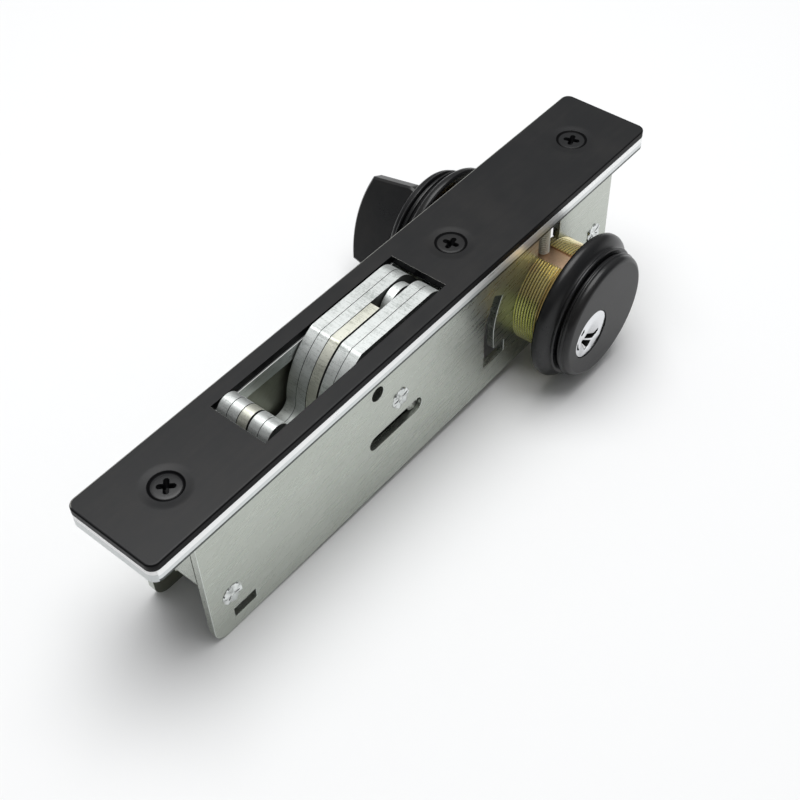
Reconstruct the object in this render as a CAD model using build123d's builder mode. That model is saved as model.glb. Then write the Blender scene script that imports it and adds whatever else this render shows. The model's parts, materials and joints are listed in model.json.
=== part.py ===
"""Mortise hook lock for a narrow door stile.

Frame: +X runs along the faceplate, away from the hook's nose. -Y is the keyed side and +Y the
thumb-turn side. +Z points out of the door edge. The origin is the centre of the plane on which
the front plate seats against the door edge. All sizes are in millimetres.
"""
from build123d import *
from math import asin, atan2, cos, degrees, hypot, radians, sin, sqrt
import os

os.makedirs("parts", exist_ok=True)

# Pivot of the hook, from which the window and the drive slot are placed
pivot_x, pivot_z = -11.4, -13.8
swing_angle = 90.0

# Mortise cylinders: where they stand, and the standard sizes that the case is built round
backset = 28.6
cylinder_x = 48.4
shell_r = 14.6
shell_hole_gap = 0.05

# Faceplate: a black cover plate over a zinc-plated front plate
plate_width = 25.4
plate_corner_r = 2.3
plate_end_overhang = 11.9
front_thickness = 3.7
cover_thickness = 2.0
cover_edge_r = 0.5
window_near_setback = 3.0
window_far_setback = 5.8
window_side_gap = 0.7
front_window_end_gap = 2.6
front_window_side_step = 0.4

# Case: two pressed side plates with end flanges, held apart by staked posts
plate_side_overhang = 1.95
wall = 2.0
rim_below_cylinder = 1.8
case_corner_r = 4.0
flange_height = 17.3
flange_outer_r = 2.9
flange_root = 0.1
flange_gap = 0.2
tenon_length = 8.0
tenon_end_distance = 12.7
middle_tenon_x = 26.0
tenon_gap = 0.06
tenon_sunk = 0.06
tenon_root = 1.0
post_r = 3.2
staked_r = 2.75
stake_gap = 0.04
stake_proud = 0.12
far_post_off_shell = 7.2
far_post_off_end = 6.5
near_post_off_end = 6.8
near_post_rise = 12.8
far_post_drop = 18.9

# Hook: five plates on one pivot, turned a quarter of a turn to throw
pivot_pin_r = 3.0
running_gap = 0.05
ply_gap = 0.15
wide_ply_gap = 0.5
ply_side_gap = 0.2
hook_proud = 0.3
nose_proud = 0.8
hook_tip_reach = 43.3
hook_tail_reach = 26.3
hook_tail_low_angle = 33.0
tail_corner_r = 5.0
hook_heel_r = 16.5
heel_start_angle = 5.0
heel_end_angle = -115.0
nose_tip_r = 3.4
arm_bottom_drop = 8.5
arm_root_length = 6.5
throat_floor_rise = 1.5
throat_nose_x = -31.8
throat_body_x = -19.0
throat_fillet_r = 3.6
shoulder_x = -8.6
shoulder_bow_x, shoulder_bow_rise = 3.9, 13.0
centre_ply_cut_x = 5.0
rivet_r = 1.8
rivet_fit = 0.02
arm_rivet_x, arm_rivet_z = -36.5, -3.4
body_rivet_x, body_rivet_z = -10.5, 8.5
lever_pin_r = 2.2
lever_pin_dx, lever_pin_dz = 13.0, 13.9
lever_head_r = 5.5
lever_foot_r = 5.9
lever_foot_shift = 2.6
lever_gap = 0.35
lever_side_gap = 0.3
lever_thickness = 2.2

# Drive: a pin in straight case slots, carried by two thin bars and pushed by the cams
slot_off_pivot = 7.9
slot_drop = 7.8
slot_half_width = 2.1
slot_end_gap = 0.1
drive_pin_r = 1.9
drive_slot_gap = 0.12
drive_travel = 14.9
drive_pin_end_gap = 1.2
slot_near_shift, slot_near_sink = 0.35, 0.45
slot_far_shift, slot_far_lift = 0.25, 0.3
bar_thickness = 0.9
bar_wall_gap = 0.2
bar_half_height = 2.4
bar_rise_off_plug = 7.0
bar_rise_length = 15.0
bar_rise_lean = 2.0
strike_pin_r = 2.0
strike_pin_step = 0.5
strike_pin_off = 1.5
strike_rise = 11.0

# Cylinders: threaded shells, each with an eccentric plug, and what stands on them
shell_groove_width = 5.2
shell_groove_depth = 1.0
head_off_wall = 16.1
head_overhang = 2.4
head_lip_proud = 0.3
head_lip_length = 0.5
head_length = 2.45
head_edge_r = 1.5
plug_offset = 6.0
plug_drop = 1.0
plug_r = 6.75
plug_gap = 0.06
plug_face_step = 0.15
plug_edge = 0.3
keyway_width = 1.6
keyway_height = 8.4
keyway_depth = 20.0
cam_reach = 16.2
cam_hub_r = 7.2
cam_tip_half_width = 4.0
cam_thickness = 2.5
cam_bar_gap = 0.55
cam_screw_r = 1.2
cam_screw_head_r = 2.2
cam_screw_head_height = 0.9
cam_screw_spread = 4.2
cam_screw_length = 7.0
collar_length = 5.35
collar_bore_gap = 0.3
collar_floor = 1.0
collar_rim_over = 5.6
collar_rim_wall = 1.6
collar_rim_back = 0.7
collar_rim_length = 1.5
collar_waist_over = 3.0
collar_lip_over = 3.4
collar_lip_length = 0.9
washer_over = 2.1
washer_edge = 0.5
washer_gap = 0.12
turn_standoff = 0.5
set_screw_r = 1.6
set_screw_off = 1.6
set_screw_edge_distance = 2.5
set_screw_seat_gap = 0.05
set_screw_sunk = 0.1
notch_width = 9.2

# Thumb turn: a tapered paddle left standing a little off vertical
paddle_lean = 25.0
paddle_base_half = 15.2
paddle_tip_half = 12.4
paddle_reach = 15.9
paddle_crown = 2.3
paddle_thickness = 4.6
paddle_corner_r = 3.2
paddle_edge = 0.6
paddle_boss_r = 9.0
paddle_boss_length = 1.6
paddle_face_gap = 0.15

# Fasteners and openings seen on the plates
cover_screw_end_distance = 16.1
middle_screw_off_window = 12.4
cover_screw_head_r = 3.75
cover_sink_r = 4.05
cover_screw_r = 2.0
cover_hole_gap = 0.15
cover_screw_sunk = 0.12
countersink_angle = 90.0
mounting_hole_end_distance = 6.0
mounting_hole_r = 2.6
mounting_sink_r = 4.5
sight_hole_off_pivot, sight_hole_drop = 7.7, 5.8
sight_hole_r = 2.0
gauge_window_end, gauge_window_length = 6.4, 6.9
gauge_window_rise, gauge_window_height = 3.65, 3.1
arc_window_off_shell = 8.3
arc_window_width = 4.0
arc_window_above, arc_window_below = 13.1, 5.4
foot_window_far_off, foot_window_length = 18.2, 8.6
foot_window_top_off, foot_window_height = 4.7, 4.0

# Levels and places worked out from the values above
front_top = front_thickness
cover_top = front_thickness + cover_thickness
cylinder_z = cover_top - backset
plug_x = cylinder_x - plug_offset
plug_z = cylinder_z - plug_drop
far_post_x = cylinder_x + shell_r + far_post_off_shell
case_length = 2 * (far_post_x + far_post_off_end)
case_height = shell_r + rim_below_cylinder - cylinder_z
plate_length = case_length + 2 * plate_end_overhang
case_width = plate_width - 2 * plate_side_overhang
case_end = case_length / 2
plate_end = plate_length / 2
near_post_x = near_post_off_end - case_end
near_post_z = near_post_rise - case_height
far_post_z = -far_post_drop
case_half = case_width / 2
inner_half = case_half - wall
bar_outer = inner_half - bar_wall_gap
bar_inner = bar_outer - bar_thickness
stack_half = bar_inner - ply_side_gap
ply_thickness = (2 * stack_half - 3 * ply_gap - wide_ply_gap) / 5
slot_far_x = pivot_x + slot_off_pivot
slot_near_x = slot_far_x - drive_travel - 2 * slot_half_width - 2 * slot_end_gap
slot_z = pivot_z - slot_drop
drive_pin_x = slot_far_x - slot_half_width - slot_end_gap
strike_pin_x = cylinder_x + strike_pin_off
strike_pin_z = cylinder_z + strike_rise
bar_rise_end_x = plug_x - plug_r - bar_rise_off_plug
bar_rise_start_x = bar_rise_end_x - bar_rise_length
cam_inner = bar_inner - cam_bar_gap - cam_thickness
head_r = shell_r + head_overhang
head_lip_r = head_r + head_lip_proud
collar_rim_r = shell_r + collar_rim_over
collar_waist_r = shell_r + collar_waist_over
collar_lip_r = shell_r + collar_lip_over
washer_r = shell_r + washer_over
head_start = case_half + head_off_wall
washer_front = head_start - washer_gap
washer_back = washer_front - 2 * washer_edge
collar_front = washer_back - washer_gap
collar_start = collar_front - collar_length
set_screw_x = cylinder_x - set_screw_off
set_screw_y = plate_width / 2 - set_screw_edge_distance
window_near_x = pivot_x - hook_tip_reach + window_near_setback
window_far_x = pivot_x + hook_tail_reach - window_far_setback
window_half_width = stack_half + window_side_gap
end_screw_x = plate_end - cover_screw_end_distance
cover_screw_positions = (-end_screw_x, window_far_x + middle_screw_off_window, end_screw_x)
mounting_hole_x = plate_end - mounting_hole_end_distance
tenon_positions = (tenon_end_distance - case_end, middle_tenon_x, case_end - tenon_end_distance)
sight_hole_x, sight_hole_z = pivot_x - sight_hole_off_pivot, -sight_hole_drop


def write_node(piece, node):
    """Label a finished piece and write it as its own file."""
    piece.label = node
    export_step(piece, f"parts/{node}.step")


def facing_key(y):
    """Sketch plane at height y across the case, drawn in X and Z, extruding towards -Y."""
    return Plane.XZ.offset(-y)


def pin_between(x, z, radius, y_low, y_high):
    """A plain round pin along Y."""
    with BuildPart() as pin:
        with BuildSketch(facing_key(y_high)):
            with Locations((x, z)):
                Circle(radius)
        extrude(amount=y_high - y_low)
    return pin.part


def side_span(side, inner, outer):
    """Low and high Y of a span measured outwards from the mid-plane on one side."""
    return (min(side * inner, side * outer), max(side * inner, side * outer))


# Plates

def plate_blank(z_low, thickness):
    """The rounded outline that both plates share."""
    with BuildPart() as blank:
        with BuildSketch(Plane.XY.offset(z_low)):
            RectangleRounded(plate_length, plate_width, plate_corner_r)
        extrude(amount=thickness)
    return blank.part


window_length = window_far_x - window_near_x
window_centre = (window_far_x + window_near_x) / 2

with BuildPart() as cover_plate:
    add(plate_blank(front_top, cover_thickness))
    top_rim = cover_plate.edges().group_by(Axis.Z)[-1]
    fillet(top_rim, cover_edge_r)
    with BuildSketch(Plane.XY.offset(front_top)):
        with Locations((window_centre, 0)):
            Rectangle(window_length, 2 * window_half_width)
    extrude(amount=cover_thickness, mode=Mode.SUBTRACT)
    with Locations(*[(x, 0, cover_top) for x in cover_screw_positions]):
        CounterSinkHole(cover_screw_r + cover_hole_gap, cover_sink_r, cover_thickness, countersink_angle)
write_node(cover_plate.part, "cover_plate")

with BuildPart() as front_plate:
    add(plate_blank(0, front_thickness))
    with BuildSketch():
        with Locations((window_centre, 0)):
            Rectangle(
                window_length + 2 * front_window_end_gap,
                2 * (window_half_width - front_window_side_step),
            )
        with Locations(*[(x, s * (case_half - wall / 2)) for x in tenon_positions for s in (-1, 1)]):
            Rectangle(tenon_length + 2 * tenon_gap, wall + 2 * tenon_gap)
        with Locations(*[(set_screw_x, s * set_screw_y) for s in (-1, 1)]):
            Circle(set_screw_r + running_gap)
        with Locations(*[(x, 0) for x in cover_screw_positions]):
            Circle(cover_screw_r + running_gap)
    extrude(amount=front_thickness, mode=Mode.SUBTRACT)
    with Locations(*[(s * mounting_hole_x, 0, front_top) for s in (-1, 1)]):
        CounterSinkHole(mounting_hole_r, mounting_sink_r, front_thickness, countersink_angle)
write_node(front_plate.part, "front_plate")

with BuildPart() as cover_screws:
    for x in cover_screw_positions:
        with BuildSketch(Plane(origin=(x, 0, 0), x_dir=(1, 0, 0), z_dir=(0, -1, 0))):
            with BuildLine():
                head_top = cover_top - cover_screw_sunk
                cone_foot = head_top - (cover_screw_head_r - cover_screw_r)
                Polyline(
                    (0, 0), (cover_screw_r, 0), (cover_screw_r, cone_foot),
                    (cover_screw_head_r, head_top), (0, head_top), close=True,
                )
            make_face()
        revolve(axis=Axis((x, 0, 0), (0, 0, 1)))
write_node(cover_screws.part, "cover_screws")


# Case side plates

def side_openings():
    """Cut every opening that both side plates have, in the current sketch."""
    for x, z in ((near_post_x, near_post_z), (far_post_x, far_post_z), (pivot_x, pivot_z)):
        with Locations((x, z)):
            Circle(staked_r + stake_gap, mode=Mode.SUBTRACT)
    with Locations((sight_hole_x, sight_hole_z)):
        Circle(sight_hole_r, mode=Mode.SUBTRACT)
    with Locations(((slot_near_x + slot_far_x) / 2, slot_z)):
        SlotOverall(slot_far_x - slot_near_x, 2 * slot_half_width, mode=Mode.SUBTRACT)
    with Locations((cylinder_x, cylinder_z)):
        Circle(shell_r + shell_hole_gap, mode=Mode.SUBTRACT)
    with Locations((cylinder_x, cylinder_z / 2)):
        Rectangle(notch_width, -cylinder_z, mode=Mode.SUBTRACT)
    with Locations((gauge_window_end - case_end, gauge_window_rise - case_height)):
        Rectangle(gauge_window_length, gauge_window_height, align=Align.MIN, mode=Mode.SUBTRACT)
    with Locations((cylinder_x - foot_window_far_off, cylinder_z - foot_window_top_off)):
        Rectangle(foot_window_length, foot_window_height, align=Align.MAX, mode=Mode.SUBTRACT)


def arc_window():
    """The curved window that runs round the cylinder, as a solid to cut with."""
    inner_r = shell_r + arc_window_off_shell
    outer_r = inner_r + arc_window_width
    start = 180 - degrees(asin(2 * arc_window_above / (inner_r + outer_r)))
    end = 180 + degrees(asin(2 * arc_window_below / (inner_r + outer_r)))
    with BuildPart() as cutter:
        with BuildSketch(facing_key(case_half + wall)):
            with BuildLine():
                inner = CenterArc((cylinder_x, cylinder_z), inner_r, start, end - start)
                outer = CenterArc((cylinder_x, cylinder_z), outer_r, start, end - start)
                Line(inner @ 0, outer @ 0)
                Line(inner @ 1, outer @ 1)
            make_face()
        extrude(amount=case_width + 2 * wall)
    return cutter.part


def side_plate(side, flanged):
    """One side plate, with tenons on top and, on the flanged one, the closed case ends."""
    y_low, y_high = side_span(side, inner_half, case_half)
    tenon_height = front_top - tenon_sunk
    bend_length = flange_outer_r + flange_root
    with BuildPart() as plate:
        with BuildSketch(facing_key(y_high)) as outline:
            with Locations((0, -case_height / 2)):
                Rectangle(case_length, case_height)
            fillet(outline.vertices().group_by(Axis.Y)[0], case_corner_r)
            with Locations(*[(x, (tenon_height - tenon_root) / 2) for x in tenon_positions]):
                Rectangle(tenon_length, tenon_height + tenon_root)
            if flanged:
                with Locations(*[(s * case_end, -flange_height / 2) for s in (-1, 1)]):
                    Rectangle(2 * bend_length, flange_height, mode=Mode.SUBTRACT)
            side_openings()
        extrude(amount=wall)
        add(arc_window(), mode=Mode.SUBTRACT)
        if flanged:
            reach = case_half + inner_half - flange_gap
            for s in (-1, 1):
                with BuildSketch(Plane.XY.offset(-flange_height)) as flange:
                    with Locations((s * (case_end - bend_length / 2), side * (inner_half + wall / 2))):
                        Rectangle(bend_length, wall)
                    with Locations((s * (case_end - wall / 2), side * (case_half - reach / 2))):
                        Rectangle(wall, reach)
                    corners = flange.vertices()
                    outer_corner = corners.sort_by_distance((s * case_end, side * case_half))[0]
                    fillet(outer_corner, flange_outer_r)
                    inner_place = (s * (case_end - wall), side * inner_half)
                    inner_corner = flange.vertices().sort_by_distance(inner_place)[0]
                    fillet(inner_corner, flange_outer_r - wall)
                extrude(amount=flange_height)
    return plate.part


write_node(side_plate(-1, False), "case_side_key")
write_node(side_plate(1, True), "case_side_turn")


def staked_post(x, z, radius):
    """A post that spaces the walls, its reduced ends staked through them."""
    with BuildPart() as post:
        add(pin_between(x, z, radius, -inner_half, inner_half))
        add(pin_between(x, z, staked_r, -case_half - stake_proud, case_half + stake_proud))
    return post.part


with BuildPart() as spacer_posts:
    add(staked_post(near_post_x, near_post_z, post_r))
    add(staked_post(far_post_x, far_post_z, post_r))
write_node(spacer_posts.part, "spacer_posts")
write_node(staked_post(pivot_x, pivot_z, pivot_pin_r), "hook_pivot_pin")


# Hook plates

def hook_outline():
    """Outline of a hook plate in X and Z about the pivot."""
    top = cover_top + hook_proud - pivot_z
    nose_centre_r = hook_tip_reach - nose_tip_r
    nose_z = cover_top + nose_proud - nose_tip_r - pivot_z
    nose_x = -sqrt(nose_centre_r**2 - nose_z**2)
    tip_scale = hook_tip_reach / nose_centre_r
    tip_end = (nose_x * tip_scale, nose_z * tip_scale)
    arm_end = (-sqrt(hook_tip_reach**2 - arm_bottom_drop**2), -arm_bottom_drop)
    mid_angle = (atan2(tip_end[1], tip_end[0]) + atan2(arm_end[1], arm_end[0]) % (2 * 3.14159265)) / 2
    tip_mid = (hook_tip_reach * cos(mid_angle), hook_tip_reach * sin(mid_angle))
    nose_side = (nose_x + nose_tip_r, nose_z)
    nose_mid = (nose_x + nose_tip_r * cos(radians(75)), nose_z + nose_tip_r * sin(radians(75)))
    tail_top = (sqrt(hook_tail_reach**2 - top**2), top)
    tail_low_angle = radians(hook_tail_low_angle)
    tail_low = (hook_tail_reach * cos(tail_low_angle), hook_tail_reach * sin(tail_low_angle))
    tail_mid_angle = (atan2(top, tail_top[0]) + tail_low_angle) / 2
    tail_mid = (hook_tail_reach * cos(tail_mid_angle), hook_tail_reach * sin(tail_mid_angle))
    heel_angles = (heel_start_angle, (heel_start_angle + heel_end_angle) / 2, heel_end_angle)
    heel_points = [(hook_heel_r * cos(radians(a)), hook_heel_r * sin(radians(a))) for a in heel_angles]
    body_foot = (throat_body_x, throat_floor_rise + throat_fillet_r)
    shoulder = (shoulder_x, top)
    body_mid = (throat_body_x + shoulder_bow_x, throat_floor_rise + shoulder_bow_rise)
    arm_root = (heel_points[2][0] - arm_root_length, -arm_bottom_drop)
    with BuildSketch() as outline:
        with BuildLine():
            ThreePointArc(arm_end, tip_mid, tip_end)
            ThreePointArc(tip_end, nose_mid, nose_side)
            FilletPolyline(
                nose_side, (throat_nose_x, throat_floor_rise), (throat_body_x, throat_floor_rise),
                body_foot, radius=throat_fillet_r - 0.01,
            )
            ThreePointArc(body_foot, body_mid, shoulder)
            Line(shoulder, tail_top)
            ThreePointArc(tail_top, tail_mid, tail_low)
            Line(tail_low, heel_points[0])
            ThreePointArc(*heel_points)
            Polyline(heel_points[2], arm_root, arm_end)
        make_face()
        tail_corner = outline.vertices().sort_by_distance(tail_top)[0]
        fillet(tail_corner, tail_corner_r)
    return outline.sketch


def drive_pin_path(angle):
    """Centre of the drive pin, seen from the hook, when the hook has turned by the angle."""
    px = drive_pin_x - drive_travel * angle / swing_angle - pivot_x
    pz = slot_z - pivot_z
    a = radians(angle)
    return (cos(a) * px - sin(a) * pz, sin(a) * px + cos(a) * pz)


path = [drive_pin_path(swing_angle * k / 8) for k in range(9)]
path_near = (
    sum(p[0] for p in path[2:6]) / 4 + slot_near_shift,
    sum(p[1] for p in path[2:6]) / 4 - slot_near_sink,
)
path_far = (path[8][0] - slot_far_shift, path[8][1] + slot_far_lift)
path_spread = max(
    min(
        hypot(p[0] - path_near[0] - t * (path_far[0] - path_near[0]) / 20,
              p[1] - path_near[1] - t * (path_far[1] - path_near[1]) / 20)
        for t in range(21)
    )
    for p in path
)
drive_slot_r = drive_pin_r + path_spread + drive_slot_gap
print(f"drive slot in the hook: half width {drive_slot_r:.2f}, off the straight by {path_spread:.2f}")
rivet_places = ((arm_rivet_x, arm_rivet_z), (body_rivet_x, body_rivet_z))


def cut_drive_slot():
    """Cut the drive pin's opening in the current sketch."""
    length = hypot(path_far[0] - path_near[0], path_far[1] - path_near[1])
    turn = degrees(atan2(path_far[1] - path_near[1], path_far[0] - path_near[0]))
    middle = ((path_near[0] + path_far[0]) / 2, (path_near[1] + path_far[1]) / 2)
    with Locations(Location((middle[0], middle[1], 0), (0, 0, turn))):
        SlotCenterToCenter(length, 2 * drive_slot_r, mode=Mode.SUBTRACT)


def lever_outline(grow=0.0):
    """Outline of the drive lever about the pivot, grown all round by a clearance."""
    foot = ((path_near[0] + path_far[0]) / 2 + lever_foot_shift, (path_near[1] + path_far[1]) / 2)
    with BuildSketch() as outline:
        with BuildSketch(mode=Mode.PRIVATE) as ends:
            with Locations((lever_pin_dx, lever_pin_dz)):
                Circle(lever_head_r + grow)
            with Locations(foot):
                Circle(lever_foot_r + grow)
        make_hull(ends.edges())
    return outline.sketch


def hook_ply(y_low, centre):
    """One plate of the hook. The centre one stops short to make room for the lever."""
    with BuildPart() as ply:
        base = Plane(origin=(pivot_x, y_low + ply_thickness, pivot_z), x_dir=(1, 0, 0), z_dir=(0, -1, 0))
        with BuildSketch(base):
            add(hook_outline())
            Circle(pivot_pin_r + running_gap, mode=Mode.SUBTRACT)
            with Locations(*rivet_places):
                Circle(rivet_r + rivet_fit, mode=Mode.SUBTRACT)
            if centre:
                with Locations((centre_ply_cut_x + hook_tail_reach, 0)):
                    Rectangle(2 * hook_tail_reach, 3 * hook_tail_reach, mode=Mode.SUBTRACT)
                add(lever_outline(lever_gap), mode=Mode.SUBTRACT)
            else:
                with Locations((lever_pin_dx, lever_pin_dz)):
                    Circle(lever_pin_r + rivet_fit, mode=Mode.SUBTRACT)
            cut_drive_slot()
        extrude(amount=ply_thickness)
    return ply.part


ply_pitch = ply_thickness + ply_gap
ply_lows = [
    stack_half - ply_thickness,
    stack_half - ply_thickness - ply_pitch,
    stack_half - ply_thickness - 2 * ply_pitch,
    -stack_half + ply_pitch,
    -stack_half,
]
for number, low in enumerate(ply_lows, start=1):
    write_node(hook_ply(low, number == 3), f"hook_ply_{number}")

with BuildPart() as hook_rivets:
    for dx, dz in rivet_places:
        add(pin_between(pivot_x + dx, pivot_z + dz, rivet_r, -stack_half, stack_half))
write_node(hook_rivets.part, "hook_rivets")

lever_pin = pin_between(pivot_x + lever_pin_dx, pivot_z + lever_pin_dz, lever_pin_r, -stack_half, stack_half)
write_node(lever_pin, "lever_pin")

lever_top = ply_lows[1] - lever_side_gap
with BuildPart() as drive_lever:
    lever_plane = Plane(origin=(pivot_x, lever_top, pivot_z), x_dir=(1, 0, 0), z_dir=(0, -1, 0))
    with BuildSketch(lever_plane):
        add(lever_outline())
        with Locations((lever_pin_dx, lever_pin_dz)):
            Circle(lever_pin_r + rivet_fit, mode=Mode.SUBTRACT)
        cut_drive_slot()
    extrude(amount=lever_thickness)
write_node(drive_lever.part, "drive_lever")


# Drive bars and pins

def drive_bar(side):
    """One thin bar between the hook and a wall, stepped up to reach the cams."""
    y_low, y_high = side_span(side, bar_inner, bar_outer)
    with BuildPart() as bar:
        with BuildSketch(facing_key(y_high)):
            with BuildLine():
                Polyline(
                    (drive_pin_x, slot_z - bar_half_height),
                    (bar_rise_start_x, slot_z - bar_half_height),
                    (bar_rise_end_x, strike_pin_z - bar_half_height),
                    (strike_pin_x, strike_pin_z - bar_half_height),
                    (strike_pin_x, strike_pin_z + bar_half_height),
                    (bar_rise_end_x - bar_rise_lean, strike_pin_z + bar_half_height),
                    (bar_rise_start_x - bar_rise_lean, slot_z + bar_half_height),
                    (drive_pin_x, slot_z + bar_half_height), close=True,
                )
            make_face()
            with Locations((drive_pin_x, slot_z), (strike_pin_x, strike_pin_z)):
                Circle(bar_half_height)
            with Locations((drive_pin_x, slot_z)):
                Circle(drive_pin_r + rivet_fit, mode=Mode.SUBTRACT)
            with Locations((strike_pin_x, strike_pin_z)):
                Circle(strike_pin_r - strike_pin_step + rivet_fit, mode=Mode.SUBTRACT)
        extrude(amount=bar_thickness)
    return bar.part


write_node(drive_bar(-1), "drive_bar_key")
write_node(drive_bar(1), "drive_bar_turn")
drive_pin_half = case_half - drive_pin_end_gap
drive_pin = pin_between(drive_pin_x, slot_z, drive_pin_r, -drive_pin_half, drive_pin_half)
write_node(drive_pin, "drive_pin")

with BuildPart() as strike_pin:
    add(pin_between(strike_pin_x, strike_pin_z, strike_pin_r, -bar_inner, bar_inner))
    add(pin_between(strike_pin_x, strike_pin_z, strike_pin_r - strike_pin_step, -bar_outer, bar_outer))
write_node(strike_pin.part, "strike_pin")


# Cylinders

def turned(side, centre, outline, standoff=0.0):
    """Revolve an outline of (radius, distance from the mid-plane) about an axis along Y."""
    origin = (centre[0], 0, centre[1])
    with BuildPart() as body:
        with BuildSketch(Plane(origin=origin, x_dir=(1, 0, 0), z_dir=(0, 0, 1))):
            with BuildLine():
                Polyline(*[(r, side * (u + standoff)) for r, u in outline], close=True)
            make_face()
        revolve(axis=Axis(origin, (0, 1, 0)))
    return body.part


def rounded_edge(r_outer, u_front, radius, steps=3):
    """Points of a quarter round at the front edge of a turned piece, from side to face."""
    turns = [radians(90 * k / steps) for k in range(steps + 1)]
    return [(r_outer - radius + radius * cos(t), u_front - radius + radius * sin(t)) for t in turns]


def cylinder_shell(side, standoff):
    """Threaded body and head, with the plug's bore and the set screw's groove."""
    front = head_start + head_length
    lip_end = head_start + head_lip_length
    outline = [
        (0, inner_half - standoff), (shell_r, inner_half - standoff), (shell_r, head_start),
        (head_lip_r, head_start), (head_lip_r, lip_end), (head_r, lip_end + head_lip_r - head_r),
        *rounded_edge(head_r, front, head_edge_r), (0, front),
    ]
    y_low, y_high = side_span(side, 0, front + standoff + 1)
    with BuildPart() as shell:
        add(turned(side, (cylinder_x, cylinder_z), outline, standoff))
        with BuildSketch(facing_key(y_high)):
            with Locations((plug_x, plug_z)):
                Circle(plug_r + plug_gap)
        extrude(amount=y_high - y_low, mode=Mode.SUBTRACT)
        groove_low, groove_high = side_span(side, 0, collar_start + standoff + 1)
        with BuildSketch(facing_key(groove_high)):
            with Locations((set_screw_x, cylinder_z + shell_r)):
                Rectangle(shell_groove_width, 2 * shell_groove_depth)
        extrude(amount=groove_high - groove_low, mode=Mode.SUBTRACT)
    return shell.part


def hollow_curve(r_start, u_start, r_end, u_end, steps=4):
    """Points of a hollow quarter curve, falling steeply from the start and flat at the end."""
    turns = [radians(90 * k / steps) for k in range(1, steps + 1)]
    return [
        (r_end + (r_start - r_end) * (1 - sin(t)), u_start + (u_end - u_start) * (1 - cos(t))) for t in turns
    ]


def collar_ring(side, standoff):
    """Hollow flared ring that closes the gap between the cylinder's head and the door face."""
    bore = shell_r + collar_bore_gap
    crest_start = collar_start + collar_rim_back
    crest_end = crest_start + collar_rim_length
    lip_back = collar_front - collar_lip_length
    outline = [
        (bore, collar_front - collar_floor), (bore + collar_floor / 2, collar_front - collar_floor),
        (collar_rim_r - collar_rim_wall, collar_start), (collar_rim_r - collar_rim_back / 2, collar_start),
        (collar_rim_r, crest_start), (collar_rim_r, crest_end),
        *hollow_curve(collar_rim_r, crest_end, collar_waist_r, lip_back),
        (collar_lip_r, collar_front - collar_lip_length / 2), (collar_waist_r, collar_front),
        (bore, collar_front),
    ]
    return turned(side, (cylinder_x, cylinder_z), outline, standoff)


def ring_washer(side, standoff):
    """Thin spring washer between the ring and the head."""
    bore = shell_r + collar_bore_gap
    outline = [
        (bore, washer_back), (washer_r - washer_edge, washer_back),
        (washer_r, (washer_back + washer_front) / 2), (washer_r - washer_edge, washer_front),
        (bore, washer_front),
    ]
    return turned(side, (cylinder_x, cylinder_z), outline, standoff)


def cylinder_plug(side, standoff, face):
    """The turning plug, reaching in to carry the cam."""
    tail = cam_inner + cam_thickness - standoff
    outline = [(0, tail), (plug_r, tail), (plug_r, face - plug_edge), (plug_r - plug_edge, face), (0, face)]
    return turned(side, (plug_x, plug_z), outline, standoff)


def cylinder_cam(side):
    """Cam screwed to the inner end of the plug, pointing straight back into the door."""
    y_low, y_high = side_span(side, cam_inner, cam_inner + cam_thickness)
    with BuildPart() as cam:
        with BuildSketch(facing_key(y_high)):
            with BuildSketch(mode=Mode.PRIVATE) as ends:
                with Locations((plug_x, plug_z)):
                    Circle(cam_hub_r)
                with Locations((plug_x, plug_z - cam_reach + cam_tip_half_width)):
                    Circle(cam_tip_half_width)
            make_hull(ends.edges())
            with Locations(*[(plug_x + s * cam_screw_spread, plug_z) for s in (-1, 1)]):
                Circle(cam_screw_r + running_gap, mode=Mode.SUBTRACT)
        extrude(amount=cam_thickness)
    return cam.part


def cam_screws(side):
    """Two screws that hold a cam to its plug, heads inwards."""
    head_inner = cam_inner - cam_screw_head_height
    with BuildPart() as screws:
        for s in (-1, 1):
            x = plug_x + s * cam_screw_spread
            y_low, y_high = side_span(side, cam_inner, cam_inner + cam_screw_length)
            add(pin_between(x, plug_z, cam_screw_r, y_low, y_high))
            y_low, y_high = side_span(side, head_inner, cam_inner)
            add(pin_between(x, plug_z, cam_screw_head_r, y_low, y_high))
    return screws.part


def screw_sockets(side):
    """Holes in the inner end of a plug for the cam's screws, as a solid to cut with."""
    y_low, y_high = side_span(side, 0, cam_inner + cam_screw_length + cam_screw_r)
    with BuildPart() as sockets:
        for s in (-1, 1):
            add(pin_between(plug_x + s * cam_screw_spread, plug_z,
                            cam_screw_r + rivet_fit, y_low, y_high))
    return sockets.part


for side, name, standoff in ((-1, "key", 0.0), (1, "turn", turn_standoff)):
    write_node(cylinder_shell(side, standoff), f"{name}_cylinder_shell")
    write_node(collar_ring(side, standoff), f"{name}_collar_ring")
    write_node(ring_washer(side, standoff), f"{name}_ring_washer")
    write_node(cylinder_cam(side), f"{name}_cam")
    write_node(cam_screws(side), f"{name}_cam_screws")

with BuildPart() as key_plug:
    add(cylinder_plug(-1, 0.0, head_start + head_length - plug_face_step))
    add(screw_sockets(-1), mode=Mode.SUBTRACT)
    keyway_front = head_start + head_length
    with BuildSketch(facing_key(-keyway_front + keyway_depth)):
        with Locations((plug_x, plug_z)):
            Rectangle(keyway_height, keyway_width)
    extrude(amount=keyway_depth, mode=Mode.SUBTRACT)
write_node(key_plug.part, "key_plug")

turn_face = head_start + head_length + turn_standoff
with BuildPart() as turn_spindle:
    add(cylinder_plug(1, turn_standoff, head_start + head_length - plug_face_step))
    add(screw_sockets(1), mode=Mode.SUBTRACT)
write_node(turn_spindle.part, "turn_spindle")

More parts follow.
